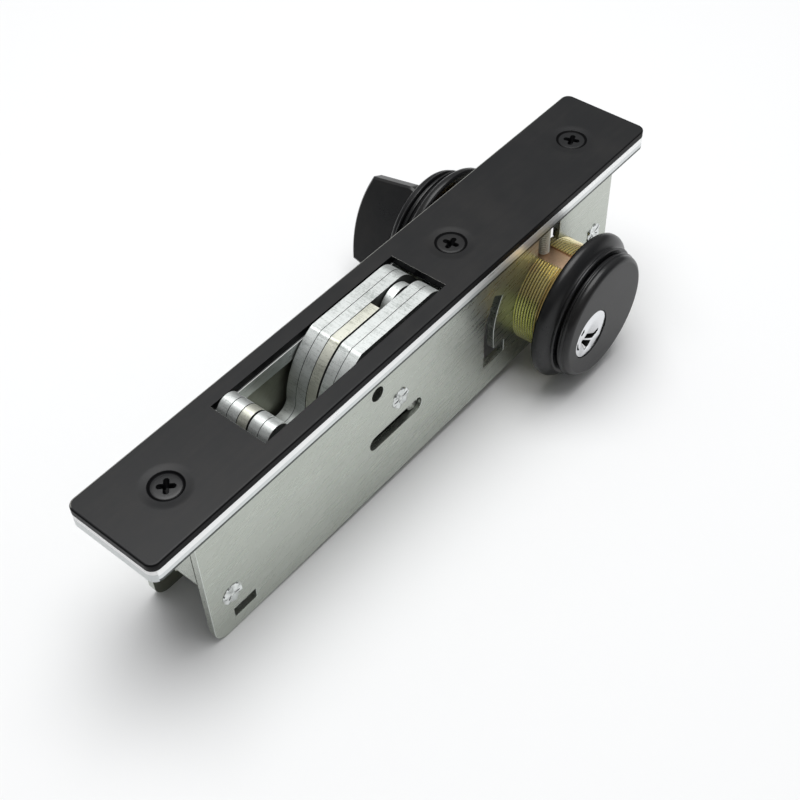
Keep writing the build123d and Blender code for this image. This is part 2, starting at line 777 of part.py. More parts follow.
paddle_base = turn_face + paddle_face_gap
lean = radians(paddle_lean)
paddle_plane = Plane(
    origin=(plug_x, paddle_base, plug_z), x_dir=(sin(lean), 0, cos(lean)), z_dir=(cos(lean), 0, -sin(lean))
)
with BuildPart() as blade:
    with BuildSketch(paddle_plane) as paddle:
        with BuildLine():
            Polyline(
                (-paddle_tip_half, -paddle_reach), (-paddle_base_half, 0),
                (paddle_base_half, 0), (paddle_tip_half, -paddle_reach),
            )
            ThreePointArc(
                (-paddle_tip_half, -paddle_reach), (0, -paddle_reach - paddle_crown),
                (paddle_tip_half, -paddle_reach),
            )
        make_face()
        fillet(paddle.vertices().group_by(Axis.Y)[-1], paddle_corner_r)
    extrude(amount=paddle_thickness / 2, both=True)
    broad_faces = blade.faces().sort_by(Axis(paddle_plane.origin, paddle_plane.z_dir))
    rims = broad_faces[0].edges() + broad_faces[-1].edges()
    chamfer([rim for rim in rims if rim.center().Y > paddle_base + paddle_edge], paddle_edge)

with BuildPart() as thumb_turn:
    add(blade.part)
    with BuildSketch(facing_key(paddle_base + paddle_boss_length)):
        with Locations((plug_x, plug_z)):
            Circle(paddle_boss_r)
    extrude(amount=paddle_boss_length)
write_node(thumb_turn.part, "thumb_turn")

with BuildPart() as set_screws:
    screw_foot = cylinder_z + shell_r - shell_groove_depth + set_screw_seat_gap
    with BuildSketch(Plane.XY.offset(screw_foot)):
        with Locations(*[(set_screw_x, s * set_screw_y) for s in (-1, 1)]):
            Circle(set_screw_r)
    extrude(amount=front_top - set_screw_sunk - screw_foot)
write_node(set_screws.part, "cylinder_set_screws")
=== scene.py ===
"""Looks of the mortise hook lock: finishes, threads, screw recesses, staked ends, light and camera.

Every size is in metres unless its name ends in _mm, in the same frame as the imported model: +X runs
along the faceplate away from the hook's nose, -Y is the keyed side, +Z points out of the faceplate.
"""
import json
import logging
import math
from dataclasses import dataclass
from enum import Enum
from functools import lru_cache
from typing import Callable, Iterable, Optional, Sequence, Union

import bmesh
import bpy
from mathutils import Matrix, Vector

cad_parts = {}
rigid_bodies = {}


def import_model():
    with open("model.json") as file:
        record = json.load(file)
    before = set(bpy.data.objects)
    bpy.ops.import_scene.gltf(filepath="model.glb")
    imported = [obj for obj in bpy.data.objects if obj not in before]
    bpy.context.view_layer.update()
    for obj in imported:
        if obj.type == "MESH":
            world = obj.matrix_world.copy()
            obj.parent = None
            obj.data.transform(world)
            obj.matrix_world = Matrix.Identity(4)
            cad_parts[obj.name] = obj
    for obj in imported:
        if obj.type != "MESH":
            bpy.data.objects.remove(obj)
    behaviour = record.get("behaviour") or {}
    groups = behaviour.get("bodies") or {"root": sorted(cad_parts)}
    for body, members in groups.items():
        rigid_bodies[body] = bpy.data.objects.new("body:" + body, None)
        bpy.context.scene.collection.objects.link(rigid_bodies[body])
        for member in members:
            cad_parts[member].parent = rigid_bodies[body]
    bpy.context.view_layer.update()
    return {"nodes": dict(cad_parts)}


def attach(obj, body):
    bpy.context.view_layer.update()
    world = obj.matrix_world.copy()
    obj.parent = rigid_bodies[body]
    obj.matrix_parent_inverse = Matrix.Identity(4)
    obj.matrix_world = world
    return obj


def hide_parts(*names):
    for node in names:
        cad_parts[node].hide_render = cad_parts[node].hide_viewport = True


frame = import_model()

LOG = logging.getLogger("hook_lock")
MM = 0.001
NEAR = 1e-6
SMOOTH_BELOW = 35.0
Colour = tuple[float, float, float]
Point = tuple[float, float, float]
Spot = tuple[float, float]
Face = bpy.types.MeshPolygon

COVER_SCREW_X_MM = (-72.5, 21.5, 72.5)
PLUG_MM: Spot = (42.4, -23.9)


class Side(Enum):
    """The two faces of the door: the keyed one looks towards -Y."""

    KEY = -1
    TURN = 1

    @property
    def word(self) -> str:
        """Name used in the pieces of this side."""
        return "key" if self is Side.KEY else "turn"


# Node building

def math_node(operation: str, swapped: bool = False) -> Callable[["Wire", "Value"], "Wire"]:
    """An arithmetic method that adds one Math node.

    Args:
        operation: The Math node's operation.
        swapped: Whether the other value comes first.

    Returns:
        The method.
    """
    def method(self: "Wire", other: "Value") -> "Wire":
        """The node's result for this wire and the other value."""
        left, right = (other, self) if swapped else (self, other)
        return self.board.node("ShaderNodeMath", {"operation": operation}, {0: left, 1: right})

    return method


class Wire:
    """An output socket that takes part in Python arithmetic by adding Math nodes."""

    __add__ = math_node("ADD")
    __radd__ = math_node("ADD", swapped=True)
    __sub__ = math_node("SUBTRACT")
    __mul__ = math_node("MULTIPLY")
    __pow__ = math_node("POWER")
    __gt__ = math_node("GREATER_THAN")
    at_most = math_node("MINIMUM")
    at_least = math_node("MAXIMUM")

    def __init__(self, board: "NodeBoard", socket: bpy.types.NodeSocket) -> None:
        """Wrap one output socket.

        Args:
            board: The board whose node tree holds the socket.
            socket: The output socket itself.
        """
        self.board = board
        self.socket = socket

    def clipped(self) -> "Wire":
        """Held between zero and one."""
        return self.at_most(1.0).at_least(0.0)

    def stepped(self, low: float, high: float, first: float = 0.0, last: float = 1.0) -> "Wire":
        """Smooth step.

        Args:
            low: Value that gives the first result.
            high: Value that gives the last result.
            first: Result up to the low value.
            last: Result from the high value on.

        Returns:
            The result as a wire.
        """
        settings = {"interpolation_type": "SMOOTHSTEP"}
        return self.board.node("ShaderNodeMapRange", settings, {0: self, 1: low, 2: high, 3: first, 4: last})


Value = Union[Wire, float, int, Colour]


class NodeBoard:
    """A node tree that grows one call at a time."""

    def __init__(self, tree: bpy.types.NodeTree) -> None:
        """Work on a tree.

        Args:
            tree: The node tree.
        """
        self.tree = tree

    def feed(self, socket: bpy.types.NodeSocket, value: Value) -> None:
        """Link a wire to a socket, or write a number or colour on it.

        Args:
            socket: The input socket.
            value: What it gets.
        """
        if isinstance(value, Wire):
            self.tree.links.new(value.socket, socket)
        else:
            socket.default_value = (*value, 1.0) if socket.type == "RGBA" else value

    def node(self, kind: str, settings: dict, inputs: dict, output: Union[int, str] = 0) -> Wire:
        """Add any node.

        Args:
            kind: The node's type.
            settings: Attributes set before its sockets.
            inputs: Values or wires by socket name or number.
            output: The output socket to return.

        Returns:
            The chosen output as a wire.
        """
        made = self.tree.nodes.new(kind)
        for key, value in settings.items():
            setattr(made, key, value)
        for key, value in inputs.items():
            self.feed(made.inputs[key], value)
        return Wire(self, made.outputs[output])

    def split(self, place: Wire) -> tuple[Wire, ...]:
        """The three parts of a vector."""
        return tuple(self.node("ShaderNodeSeparateXYZ", {}, {0: place}, i) for i in range(3))


class ShaderBoard(NodeBoard):
    """One material's node tree with a Principled shader at its end."""

    def __init__(self, name: str) -> None:
        """Start an empty material.

        Args:
            name: Name of the material.
        """
        self.material = bpy.data.materials.new(name)
        self.material.use_nodes = True
        super().__init__(self.material.node_tree)
        self.tree.nodes.clear()
        self.shader = self.tree.nodes.new("ShaderNodeBsdfPrincipled")
        out = self.tree.nodes.new("ShaderNodeOutputMaterial")
        self.tree.links.new(self.shader.outputs[0], out.inputs[0])

    def place(self, scale: Point = (1.0, 1.0, 1.0), turn: Point = (0.0, 0.0, 0.0),
              shift: Point = (0.0, 0.0, 0.0)) -> Wire:
        """Object coordinates, stretched, turned and shifted.

        Args:
            scale: Factor along each axis after the turn.
            turn: Turn about each axis, in degrees.
            shift: Shift in metres.

        Returns:
            The coordinates as a wire.
        """
        here = self.node("ShaderNodeTexCoord", {}, {}, "Object")
        turned = self.node("ShaderNodeMapping", {"vector_type": "POINT"}, {
            "Vector": here, "Location": shift, "Rotation": tuple(math.radians(a) for a in turn)})
        return self.node("ShaderNodeMapping", {"vector_type": "POINT"}, {"Vector": turned, "Scale": scale})

    def noise(self, place: Wire, scale: float, detail: float = 4.0, rough: float = 0.55,
              bend: float = 0.0) -> Wire:
        """Cloudy noise.

        Args:
            place: Coordinates.
            scale: Features per metre.
            detail: Octaves.
            rough: How much the fine octaves weigh.
            bend: Distortion.

        Returns:
            A wire of about zero to one.
        """
        return self.node("ShaderNodeTexNoise", {}, {
            "Vector": place, "Scale": scale, "Detail": detail, "Roughness": rough, "Distortion": bend})

    def mix(self, amount: Value, low: Value, high: Value) -> Wire:
        """Blend two colours.

        Args:
            amount: Zero for low, one for high.
            low: First colour.
            high: Second colour.

        Returns:
            The blended colour.
        """
        settings = {"data_type": "RGBA", "clamp_factor": True}
        return self.node("ShaderNodeMix", settings, {0: amount, 6: low, 7: high}, 2)

    def bump(self, height: Wire, depth: float, strength: float = 1.0) -> Wire:
        """Turn a height into a normal.

        Args:
            height: Height from zero to one.
            depth: Depth that one stands for, in metres.
            strength: How much of it counts.

        Returns:
            The normal.
        """
        return self.node("ShaderNodeBump", {}, {"Strength": strength, "Distance": depth, "Height": height})


# Finishes

@dataclass(frozen=True)
class Finish:
    """A surface finish, which becomes a material when a piece first needs it."""

    name: str

    def sockets(self, board: ShaderBoard) -> dict[str, Value]:
        """What feeds the shader.

        Args:
            board: The new material's board.

        Returns:
            Values and wires by socket name.
        """
        raise NotImplementedError


@lru_cache(maxsize=None)
def material(finish: Finish) -> bpy.types.Material:
    """The material of a finish, built once.

    Args:
        finish: The finish.

    Returns:
        Its material.
    """
    board = ShaderBoard(finish.name)
    for key, value in finish.sockets(board).items():
        board.feed(board.shader.inputs[key], value)
    return board.material


@dataclass(frozen=True)
class SatinBlack(Finish):
    """Black electrophoretic coat over steel, with a fine even grain and shallow dimples round screws."""

    name: str = "satin_black"
    tone: Colour = (0.008, 0.0085, 0.0095)
    worn: Colour = (0.014, 0.0135, 0.0135)
    sheen: float = 0.4
    shine: float = 0.24
    grain_mm: float = 0.002
    dimple_x_mm: tuple[float, ...] = ()
    dimple_inner_mm: float = 3.6
    dimple_outer_mm: float = 6.2
    dimple_deep_mm: float = 0.22

    def sockets(self, board: ShaderBoard) -> dict[str, Value]:
        """What feeds the shader.

        Args:
            board: The new material's board.

        Returns:
            Values and wires by socket name.
        """
        here = board.place()
        cloud = board.noise(here, 90.0, 3.0)
        grain = board.noise(here, 5200.0, 2.0, 0.6)
        flow = board.noise(board.place(scale=(0.12, 1.0, 1.0)), 700.0, 3.0)
        x, y, _ = board.split(here)
        dimples = x * 0.0 + self.dimple_deep_mm
        for centre in self.dimple_x_mm:
            off = x - centre * MM
            reach = (off * off + y * y) ** 0.5
            dimples = dimples * reach.stepped(self.dimple_inner_mm * MM, self.dimple_outer_mm * MM)
        rough = self.sheen + (cloud - 0.5) * 0.12 + (grain - 0.5) * 0.1
        return {
            "Base Color": board.mix((cloud * 0.7 + flow * 0.3).stepped(0.35, 0.75), self.tone, self.worn),
            "Roughness": rough.clipped(), "Metallic": 0.0, "Coat Roughness": 0.28, "Coat Weight": 0.05,
            "Specular IOR Level": self.shine, "Normal": board.bump(grain * self.grain_mm + dimples, MM),
        }


@dataclass(frozen=True)
class BrushedZinc(Finish):
    """Zinc-plated rolled steel: slanted brush lines, broad rolling streaks and faint clouds."""

    name: str = "brushed_zinc"
    pale: Colour = (0.56, 0.585, 0.54)
    deep: Colour = (0.46, 0.49, 0.44)
    slant: float = 38.0
    rough: float = 0.29
    line_depth_mm: float = 0.0012
    streak_slant: float = 6.5
    streak_depth_mm: float = 0.0036

    def sockets(self, board: ShaderBoard) -> dict[str, Value]:
        """What feeds the shader.

        Args:
            board: The new material's board.

        Returns:
            Values and wires by socket name.
        """
        along, across = (board.place(turn=(0.0, slant, 0.0), scale=(0.05, 1.0, 1.0))
                         for slant in (self.slant, self.streak_slant))
        lines = board.noise(along, 5200.0, 5.0, 0.7)
        streaks = board.noise(across, 1500.0, 2.0)
        cloud = board.noise(board.place(), 42.0, 4.0)
        rough = self.rough + (lines - 0.5) * 0.12 + (cloud - 0.5) * 0.06 + (streaks - 0.5) * 0.2
        return {
            "Base Color": board.mix((lines * 0.6 + cloud * 0.4).stepped(0.3, 0.75), self.deep, self.pale),
            "Metallic": 0.92, "Roughness": rough.clipped(),
            "Normal": board.bump(lines * self.line_depth_mm + streaks * self.streak_depth_mm, MM, 0.7),
        }


@dataclass(frozen=True)
class BrightZinc(Finish):
    """Bright zinc plate with a soft mill texture."""

    name: str = "bright_zinc"
    pale: Colour = (0.66, 0.69, 0.68)
    deep: Colour = (0.5, 0.53, 0.52)
    rough: float = 0.3

    def sockets(self, board: ShaderBoard) -> dict[str, Value]:
        """What feeds the shader.

        Args:
            board: The new material's board.

        Returns:
            Values and wires by socket name.
        """
        lines = board.noise(board.place(scale=(0.08, 1.0, 1.0)), 2600.0, 4.0, 0.65)
        cloud = board.noise(board.place(), 60.0, 3.0)
        return {
            "Base Color": board.mix((lines * 0.5 + cloud * 0.5).stepped(0.3, 0.8), self.deep, self.pale),
            "Metallic": 0.9, "Roughness": (self.rough + (lines - 0.5) * 0.2).clipped(),
            "Normal": board.bump(lines, 0.0015 * MM, 0.6),
        }


@dataclass(frozen=True)
class EdgeHighlightAndShadow(Finish):
    """Bright zinc on a plate's side: a painted highlight in white along its upper half, greyer below, and a
    painted shadow as a dark line at its foot.
    """

    name: str = "rolled_edge"
    # The high colour is the painted highlight; the dark colour near the foot is painted shadow.
    high: Colour = (0.97, 0.98, 0.98)
    low: Colour = (0.72, 0.75, 0.75)
    seam: Colour = (0.08, 0.09, 0.085)
    seam_mm: float = 0.75
    from_mm: float = 1.75
    to_mm: float = 2.15
    metallic: float = 0.75

    def sockets(self, board: ShaderBoard) -> dict[str, Value]:
        """What feeds the shader.

        Args:
            board: The new material's board.

        Returns:
            Values and wires by socket name.
        """
        z = board.split(board.place())[2]
        cloud = board.noise(board.place(scale=(0.1, 1.0, 1.0)), 900.0, 3.0)
        height = z.stepped(self.from_mm * MM, self.to_mm * MM) + (cloud - 0.5) * 0.3
        colour = board.mix(height.clipped(), self.low, self.high)
        return {
            "Base Color": board.mix(z > self.seam_mm * MM, self.seam, colour),
            "Metallic": self.metallic, "Roughness": (0.3 + (cloud - 0.5) * 0.15).clipped(),
        }


@dataclass(frozen=True)
class ShearedZinc(Finish):
    """Plated blanked steel: pale and speckled on the flats, scored down the sheared edges, with a painted
    highlight that lightens their upper part.
    """

    name: str = "sheared_zinc"
    pale: Colour = (0.62, 0.645, 0.635)
    deep: Colour = (0.34, 0.365, 0.35)
    rough: float = 0.42
    lift: float = 1.5
    # The painted highlight on the sheared edges grows between these two heights; lift sets how much lighter
    # it is.
    dull_below_mm: float = 0.0
    clean_above_mm: float = 3.6
    flat_from_mm: float = 5.1
    flat_to_mm: float = 5.8

    def sockets(self, board: ShaderBoard) -> dict[str, Value]:
        """What feeds the shader.

        Args:
            board: The new material's board.

        Returns:
            Values and wires by socket name.
        """
        here = board.place()
        specks = board.noise(here, 2600.0, 4.0, 0.75)
        scores = board.noise(board.place(scale=(1.0, 0.08, 1.0)), 2400.0, 3.0, 0.7)
        cloud = board.noise(here, 160.0, 4.0)
        dark = (specks - 0.5) * 1.1 + (scores - 0.5) * 0.9 + (cloud - 0.5) * 0.8
        shade = (dark * -1.0).stepped(-0.12, 0.42)
        z = board.split(here)[2]
        flat = z.stepped(self.flat_from_mm * MM, self.flat_to_mm * MM)
        # Painted highlight: the upper part of the sheared edges, below the flat, takes lighter tones.
        edge_highlight = z.stepped(self.dull_below_mm * MM, self.clean_above_mm * MM) * (flat * -1.0 + 1.0)
        highlight_tones = (tuple(min(part * self.lift, 1.0) for part in tone) for tone in (self.pale, self.deep))
        colour = board.mix(edge_highlight, board.mix(shade, self.pale, self.deep), board.mix(shade, *highlight_tones))
        return {
            "Base Color": colour, "Metallic": 0.8,
            "Roughness": (self.rough + (specks - 0.5) * 0.25).clipped(),
            "Normal": board.bump(specks * 0.6 + scores * 0.6, 0.012 * MM, 0.6),
        }


@dataclass(frozen=True)
class YellowZinc(Finish):
    """Yellow chromate over zinc, drifting from straw to green and rose."""

    name: str = "yellow_zinc"
    straw: Colour = (0.98, 0.9, 0.56)
    green: Colour = (0.84, 0.85, 0.45)
    rose: Colour = (0.92, 0.76, 0.52)
    rough: float = 0.2
    metallic: float = 0.78
    green_below_mm: float = -18.5
    straw_above_mm: float = -13.0

    def sockets(self, board: ShaderBoard) -> dict[str, Value]:
        """What feeds the shader.

        Args:
            board: The new material's board.

        Returns:
            Values and wires by socket name.
        """
        here = board.place()
        drift = board.noise(here, 95.0, 2.0, 0.5, 0.4)
        second = board.noise(board.place(shift=(0.03, 0.02, 0.05)), 130.0, 3.0)
        fine = board.noise(here, 3000.0, 3.0)
        height = board.split(here)[2].stepped(self.green_below_mm * MM, self.straw_above_mm * MM)
        colour = board.mix((height * 0.7 + drift * 0.5 - 0.1).stepped(0.2, 0.65), self.green, self.straw)
        return {
            "Base Color": board.mix(second.stepped(0.56, 0.76), colour, self.rose), "Metallic": self.metallic,
            "Roughness": (self.rough + (fine - 0.5) * 0.1).clipped(),
            "Normal": board.bump(fine, 0.001 * MM, 0.5),
        }


@dataclass(frozen=True)
class PlainMetal(Finish):
    """An even metal with a fine grain."""

    tone: Colour
    rough: float
    metallic: float = 1.0
    grain_per_m: float = 2500.0
    spread: float = 0.25

    def sockets(self, board: ShaderBoard) -> dict[str, Value]:
        """What feeds the shader.

        Args:
            board: The new material's board.

        Returns:
            Values and wires by socket name.
        """
        here = board.place()
        fine = board.noise(here, self.grain_per_m, 3.0)
        cloud = board.noise(here, 240.0, 3.0)
        deep = tuple(c * (1.0 - self.spread) for c in self.tone)
        return {
            "Base Color": board.mix((cloud * 0.6 + fine * 0.4).stepped(0.3, 0.7), deep, self.tone),
            "Metallic": self.metallic, "Roughness": (self.rough + (fine - 0.5) * 0.12).clipped(),
            "Normal": board.bump(fine, 0.003 * MM, 0.4),
        }


@dataclass(frozen=True)
class Paper(Finish):
    """The matt floor."""

    tone: Colour

    def sockets(self, board: ShaderBoard) -> dict[str, Value]:
        """What feeds the shader."""
        return {"Base Color": self.tone, "Roughness": 0.9}


BLACK = SatinBlack(dimple_x_mm=COVER_SCREW_X_MM)
BLACK_GLOSS = SatinBlack("satin_black_turned", sheen=0.3, shine=0.3)
BLACK_FACE = SatinBlack("satin_black_face", (0.035, 0.035, 0.036), (0.045, 0.045, 0.046), sheen=0.46)
# Dead black with little reflection: painted shade on the cover's walls, in the screws' recesses and rims and
# in the rings' hollows.
BLACK_PAINTED_SHADE = SatinBlack("satin_black_edge", (0.003, 0.003, 0.0035), (0.004, 0.004, 0.0045), shine=0.06)
CASE = BrushedZinc()
# Darker, duller zinc: painted shade on the inner faces of the case.
CASE_INSIDE_PAINTED_SHADE = BrushedZinc("brushed_zinc_inside", (0.3, 0.31, 0.26), (0.24, 0.25, 0.2), rough=0.5)
FRONT = BrightZinc()
# Painted light on the front plate: a white highlight along the top of its sides and ends, and a shadow line
# at the foot of its sides.
FRONT_SIDE_PAINTED_LIGHT = EdgeHighlightAndShadow()
FRONT_END_PAINTED_HIGHLIGHT = EdgeHighlightAndShadow("rolled_end", (1.0, 1.0, 1.0), seam_mm=-1.0, from_mm=2.3, to_mm=2.6, metallic=0.2)
# Hook plates: sheared zinc with a painted highlight on the upper part of their edges.
PLY = ShearedZinc()
CENTRE_PLY = ShearedZinc("sheared_zinc_yellow", (0.61, 0.615, 0.54), (0.31, 0.315, 0.26))
# Dark, dull steel: painted shade on the flat sides of the hook plates and the lever.
PLY_SIDE_PAINTED_SHADE = PlainMetal("oiled_ply_side", (0.1, 0.105, 0.1), 0.45, 0.6)
YELLOW = YellowZinc()
# Dark chromate: painted shade in the thread roots of the cylinders and the set screws.
ROOT_PAINTED_SHADE = YellowZinc("yellow_zinc_root", (0.16, 0.12, 0.03), (0.045, 0.047, 0.012), (0.16, 0.1, 0.045))
NECK = PlainMetal("gold_neck", (0.8, 0.56, 0.22), 0.3, 0.8)
GROOVE = PlainMetal("copper_groove", (0.74, 0.5, 0.33), 0.34, 0.85)
THREAD_SCREW = PlainMetal("pale_thread", (0.98, 0.97, 0.88), 0.3, 0.35)
STEEL = PlainMetal("pin_steel", (0.6, 0.61, 0.59), 0.28)
STAKE = PlainMetal("staked_steel", (0.8, 0.83, 0.82), 0.1, 1.0, 1500.0, 0.3)
CHROME = PlainMetal("plug_chrome", (0.8, 0.81, 0.83), 0.16, 1.0, 1800.0, 0.06)
# Near black: painted shade on the keyway's walls and on a disc deep in the keyway.
KEYWAY_PAINTED_SHADE = PlainMetal("dark_bore", (0.01, 0.01, 0.01), 0.6, 0.2)
# Near black on the front plate's lower bevels: painted shadow where it meets the case.
SEAM_PAINTED_SHADOW = PlainMetal("dark_seam", (0.03, 0.033, 0.03), 0.6, 0.3)
# Dark steel for the drive bars: painted shade, as they sit in shade inside the case.
BAR_PAINTED_SHADE = PlainMetal("drive_bar_steel", (0.16, 0.18, 0.17), 0.35, 0.9)
# Near white, hardly metallic: a painted highlight, set as a triangular ward-shaped slab in the keyway.
WARD_PAINTED_HIGHLIGHT = PlainMetal("keyway_ward", (0.95, 0.95, 0.95), 0.4, 0.1, 1800.0, 0.04)
# Grey on the cover's black bevels: a painted highlight where the far edge and the window's short edges catch
# light.
COVER_EDGE_PAINTED_HIGHLIGHT = PlainMetal("rubbed_edge", (0.3, 0.3, 0.28), 0.4, 0.5, 1800.0, 0.3)
# Near white on the outer bevels of each case side that face the nose end: a painted highlight.
FOLD_PAINTED_HIGHLIGHT = PlainMetal("bright_fold", (0.92, 0.97, 0.93), 0.4, 0.3, 1800.0, 0.05)
# Near white, hardly metallic: a painted highlight on the front plate's upper bevels.
LEDGE_PAINTED_HIGHLIGHT = PlainMetal("bright_ledge", (0.97, 0.98, 0.97), 0.45, 0.3, 1800.0, 0.05)
FLOOR = Paper("floor_paper", (0.86, 0.865, 0.87))


# Mesh helpers

def circle(centre: Spot, radius: float, steps: int, start: float = 0.0, sweep: float = 360.0) -> list[Spot]:
    """Points of a circle or arc.

    Args:
        centre: Its centre.
        radius: Its radius.
        steps: Number of steps.
        start: First angle in degrees.
        sweep: Angle covered; a full circle leaves out the repeated end.

    Returns:
        The points, or the centre alone for a radius of zero.
    """
    if radius <= 0:
        return [centre]
    count = steps if sweep >= 360.0 else steps + 1
    turns = [math.radians(start + sweep * k / steps) for k in range(count)]
    return [(centre[0] + radius * math.cos(a), centre[1] + radius * math.sin(a)) for a in turns]


def smooth(mesh: bpy.types.Mesh, below: float = SMOOTH_BELOW) -> None:
    """Shade a mesh smooth across its gentle edges.

    Args:
        mesh: The mesh.
        below: Edges that turn less than this many degrees are smooth.
    """
    mesh.shade_smooth()
    mesh.set_sharp_from_angle(angle=math.radians(below))


def put_in_scene(name: str, mesh: bpy.types.Mesh, finish: Optional[Finish]) -> bpy.types.Object:
    """Make an object of a mesh, at the origin.

    Args:
        name: The piece's name.
        mesh: Its mesh, placed in the frame.
        finish: Its finish, or None.

    Returns:
        The new object.
    """
    piece = bpy.data.objects.new(name, mesh)
    bpy.context.scene.collection.objects.link(piece)
    if finish is not None:
        mesh.materials.clear()
        mesh.materials.append(material(finish))
    return piece


def from_bmesh(name: str, shape: bmesh.types.BMesh, finish: Optional[Finish], below: float = SMOOTH_BELOW,
               outward: bool = True) -> bpy.types.Object:
    """Close a bmesh into an object whose gentle edges are smooth.

    Args:
        name: The piece's name.
        shape: The bmesh, which is freed.
        finish: Its finish, or None.
        below: Edges that turn less than this many degrees are smooth.
        outward: Whether its normals are to be turned outwards first.

    Returns:
        The new object.
    """
    if outward:
        bmesh.ops.recalc_face_normals(shape, faces=shape.faces)
    mesh = bpy.data.meshes.new(name)
    shape.to_mesh(mesh)
    shape.free()
    smooth(mesh, below)
    return put_in_scene(name, mesh, finish)


def skin(name: str, rings: Sequence[Sequence[Point]], finish: Optional[Finish], capped: bool = False,
         looped: bool = False, below: float = SMOOTH_BELOW) -> bpy.types.Object:
    """Stretch a skin over rings of points.

    Args:
        name: The piece's name.
        rings: Rings of equally many points in metres, where a single point is a tip.
        finish: Its finish, or None.
        capped: Whether the first and the last ring are closed with a face.
        looped: Whether the last ring is joined to the first.
        below: Edges that turn less than this many degrees are smooth.

    Returns:
        The new object.
    """
    shape = bmesh.new()
    verts = [[shape.verts.new(point) for point in ring] for ring in rings]
    steps = max(len(ring) for ring in rings)
    for low, high in zip(verts, verts[1:] + (verts[:1] if looped else [])):
        for i in range(steps):
            corners = [low[k % len(low)] for k in (i, i + 1)] + [high[k % len(high)] for k in (i + 1, i)]
            unique = list(dict.fromkeys(corners))
            if len(unique) > 2:
                shape.faces.new(unique)
    for end in (verts[0], verts[-1]) if capped else ():
        shape.faces.new(end)
    return from_bmesh(name, shape, finish, below)


def lathe(name: str, outline: Sequence[Spot], centre: Spot, side: Side, finish: Finish,
          segments: int = 144, open_ends: bool = False) -> bpy.types.Object:
    """Turn an outline about a line along Y.

    Args:
        name: The piece's name.
        outline: Points of (radius, distance from the mid-plane), in millimetres, from the back of
            the axis round the outside to the front of the axis, or a closed ring's section.
        centre: X and Z of the axis, in metres.
        side: The side on which the piece sits.
        finish: Its finish.
        segments: Steps of the turn.
        open_ends: Whether a section stays open between its last and its first point.

    Returns:
        The new object.
    """
    rings = [[(x, side.value * out * MM, z) for x, z in circle(centre, radius * MM, segments)]
             for radius, out in outline]
    looped = not open_ends and min(len(rings[0]), len(rings[-1])) > 1
    return skin(name, rings, finish, looped=looped)


def loop(shape: bmesh.types.BMesh, spots: Sequence[Spot], y: float) -> list[bmesh.types.BMEdge]:
    """Draw a closed loop of edges at one height of Y.

    Args:
        shape: The bmesh that gets it.
        spots: Its points as (x, z) in metres.
        y: Its height.

    Returns:
        The edges.
    """
    verts = [shape.verts.new((x, y, z)) for x, z in spots]
    return [shape.edges.new((a, b)) for a, b in zip(verts, verts[1:] + verts[:1])]


def push(shape: bmesh.types.BMesh, extruded: dict, along: float) -> None:
    """Move what was just extruded along Y.

    Args:
        shape: The bmesh that holds it.
        extruded: What the extrusion returned.
        along: How far, in metres.
    """
    verts = [part for part in extruded["geom"] if isinstance(part, bmesh.types.BMVert)]
    bmesh.ops.translate(shape, verts=verts, vec=(0, along, 0))


def slab(name: str, loops: Sequence[Sequence[Spot]], low: float, high: float, finish: Finish,
         bevel_mm: float = 0.0) -> bpy.types.Object:
    """A flat piece between two heights of Y, with holes.

    Args:
        name: The piece's name.
        loops: Closed loops of (x, z) in metres: the outline first, then the holes.
        low: Lower Y.
        high: Higher Y.
        finish: Its finish.
        bevel_mm: Width of a rounded edge.

    Returns:
        The new object.
    """
    shape = bmesh.new()
    edges = [edge for spots in loops for edge in loop(shape, spots, low)]
    bmesh.ops.triangle_fill(shape, edges=edges, use_beauty=True)
    bmesh.ops.dissolve_limit(shape, angle_limit=0.01, verts=shape.verts, edges=shape.edges)
    push(shape, bmesh.ops.extrude_face_region(shape, geom=shape.faces[:]), high - low)
    piece = from_bmesh(name, shape, finish)
    return round_edges(piece, bevel_mm) if bevel_mm > 0 else piece


def bake(piece: bpy.types.Object) -> bpy.types.Object:
    """Turn a piece's modifiers into its mesh.

    Args:
        piece: The object with live modifiers.

    Returns:
        The same object, plain.
    """
    bpy.context.view_layer.update()
    graph = bpy.context.evaluated_depsgraph_get()
    mesh = bpy.data.meshes.new_from_object(piece.evaluated_get(graph), depsgraph=graph)
    piece.modifiers.clear()
    piece.data = mesh
    return piece


def modified(piece: bpy.types.Object, kind: str, **settings: Union[str, float, bool, bpy.types.Object]
             ) -> bpy.types.Object:
    """Put a modifier on a piece and bake it.

    Args:
        piece: The object.
        kind: The modifier's type.
        **settings: Its settings.

    Returns:
        The same object, plain.
    """
    modifier = piece.modifiers.new(kind.lower(), kind)
    for key, value in settings.items():
        setattr(modifier, key, value)
    return bake(piece)


def round_edges(piece: bpy.types.Object, width_mm: float, segments: int = 2, limit: float = 40.0
                ) -> bpy.types.Object:
    """Round a piece's sharp edges.

    Args:
        piece: The object.
        width_mm: Width of the rounding.
        segments: Its steps.
        limit: Least angle of an edge that counts, in degrees.

    Returns:
        The same object, plain.
    """
    modified(piece, "BEVEL", width=width_mm * MM, segments=segments, limit_method="ANGLE",
             angle_limit=math.radians(limit))
    smooth(piece.data, limit + 8)
    return piece


def keep_flats_flat(piece: bpy.types.Object) -> bpy.types.Object:
    """Weight a piece's normals by area, so that its flats shade as flats up to their rounded edges.

    Args:
        piece: The object.

    Returns:
        The same object, plain.
    """
    return modified(piece, "WEIGHTED_NORMAL", keep_sharp=True, weight=90)


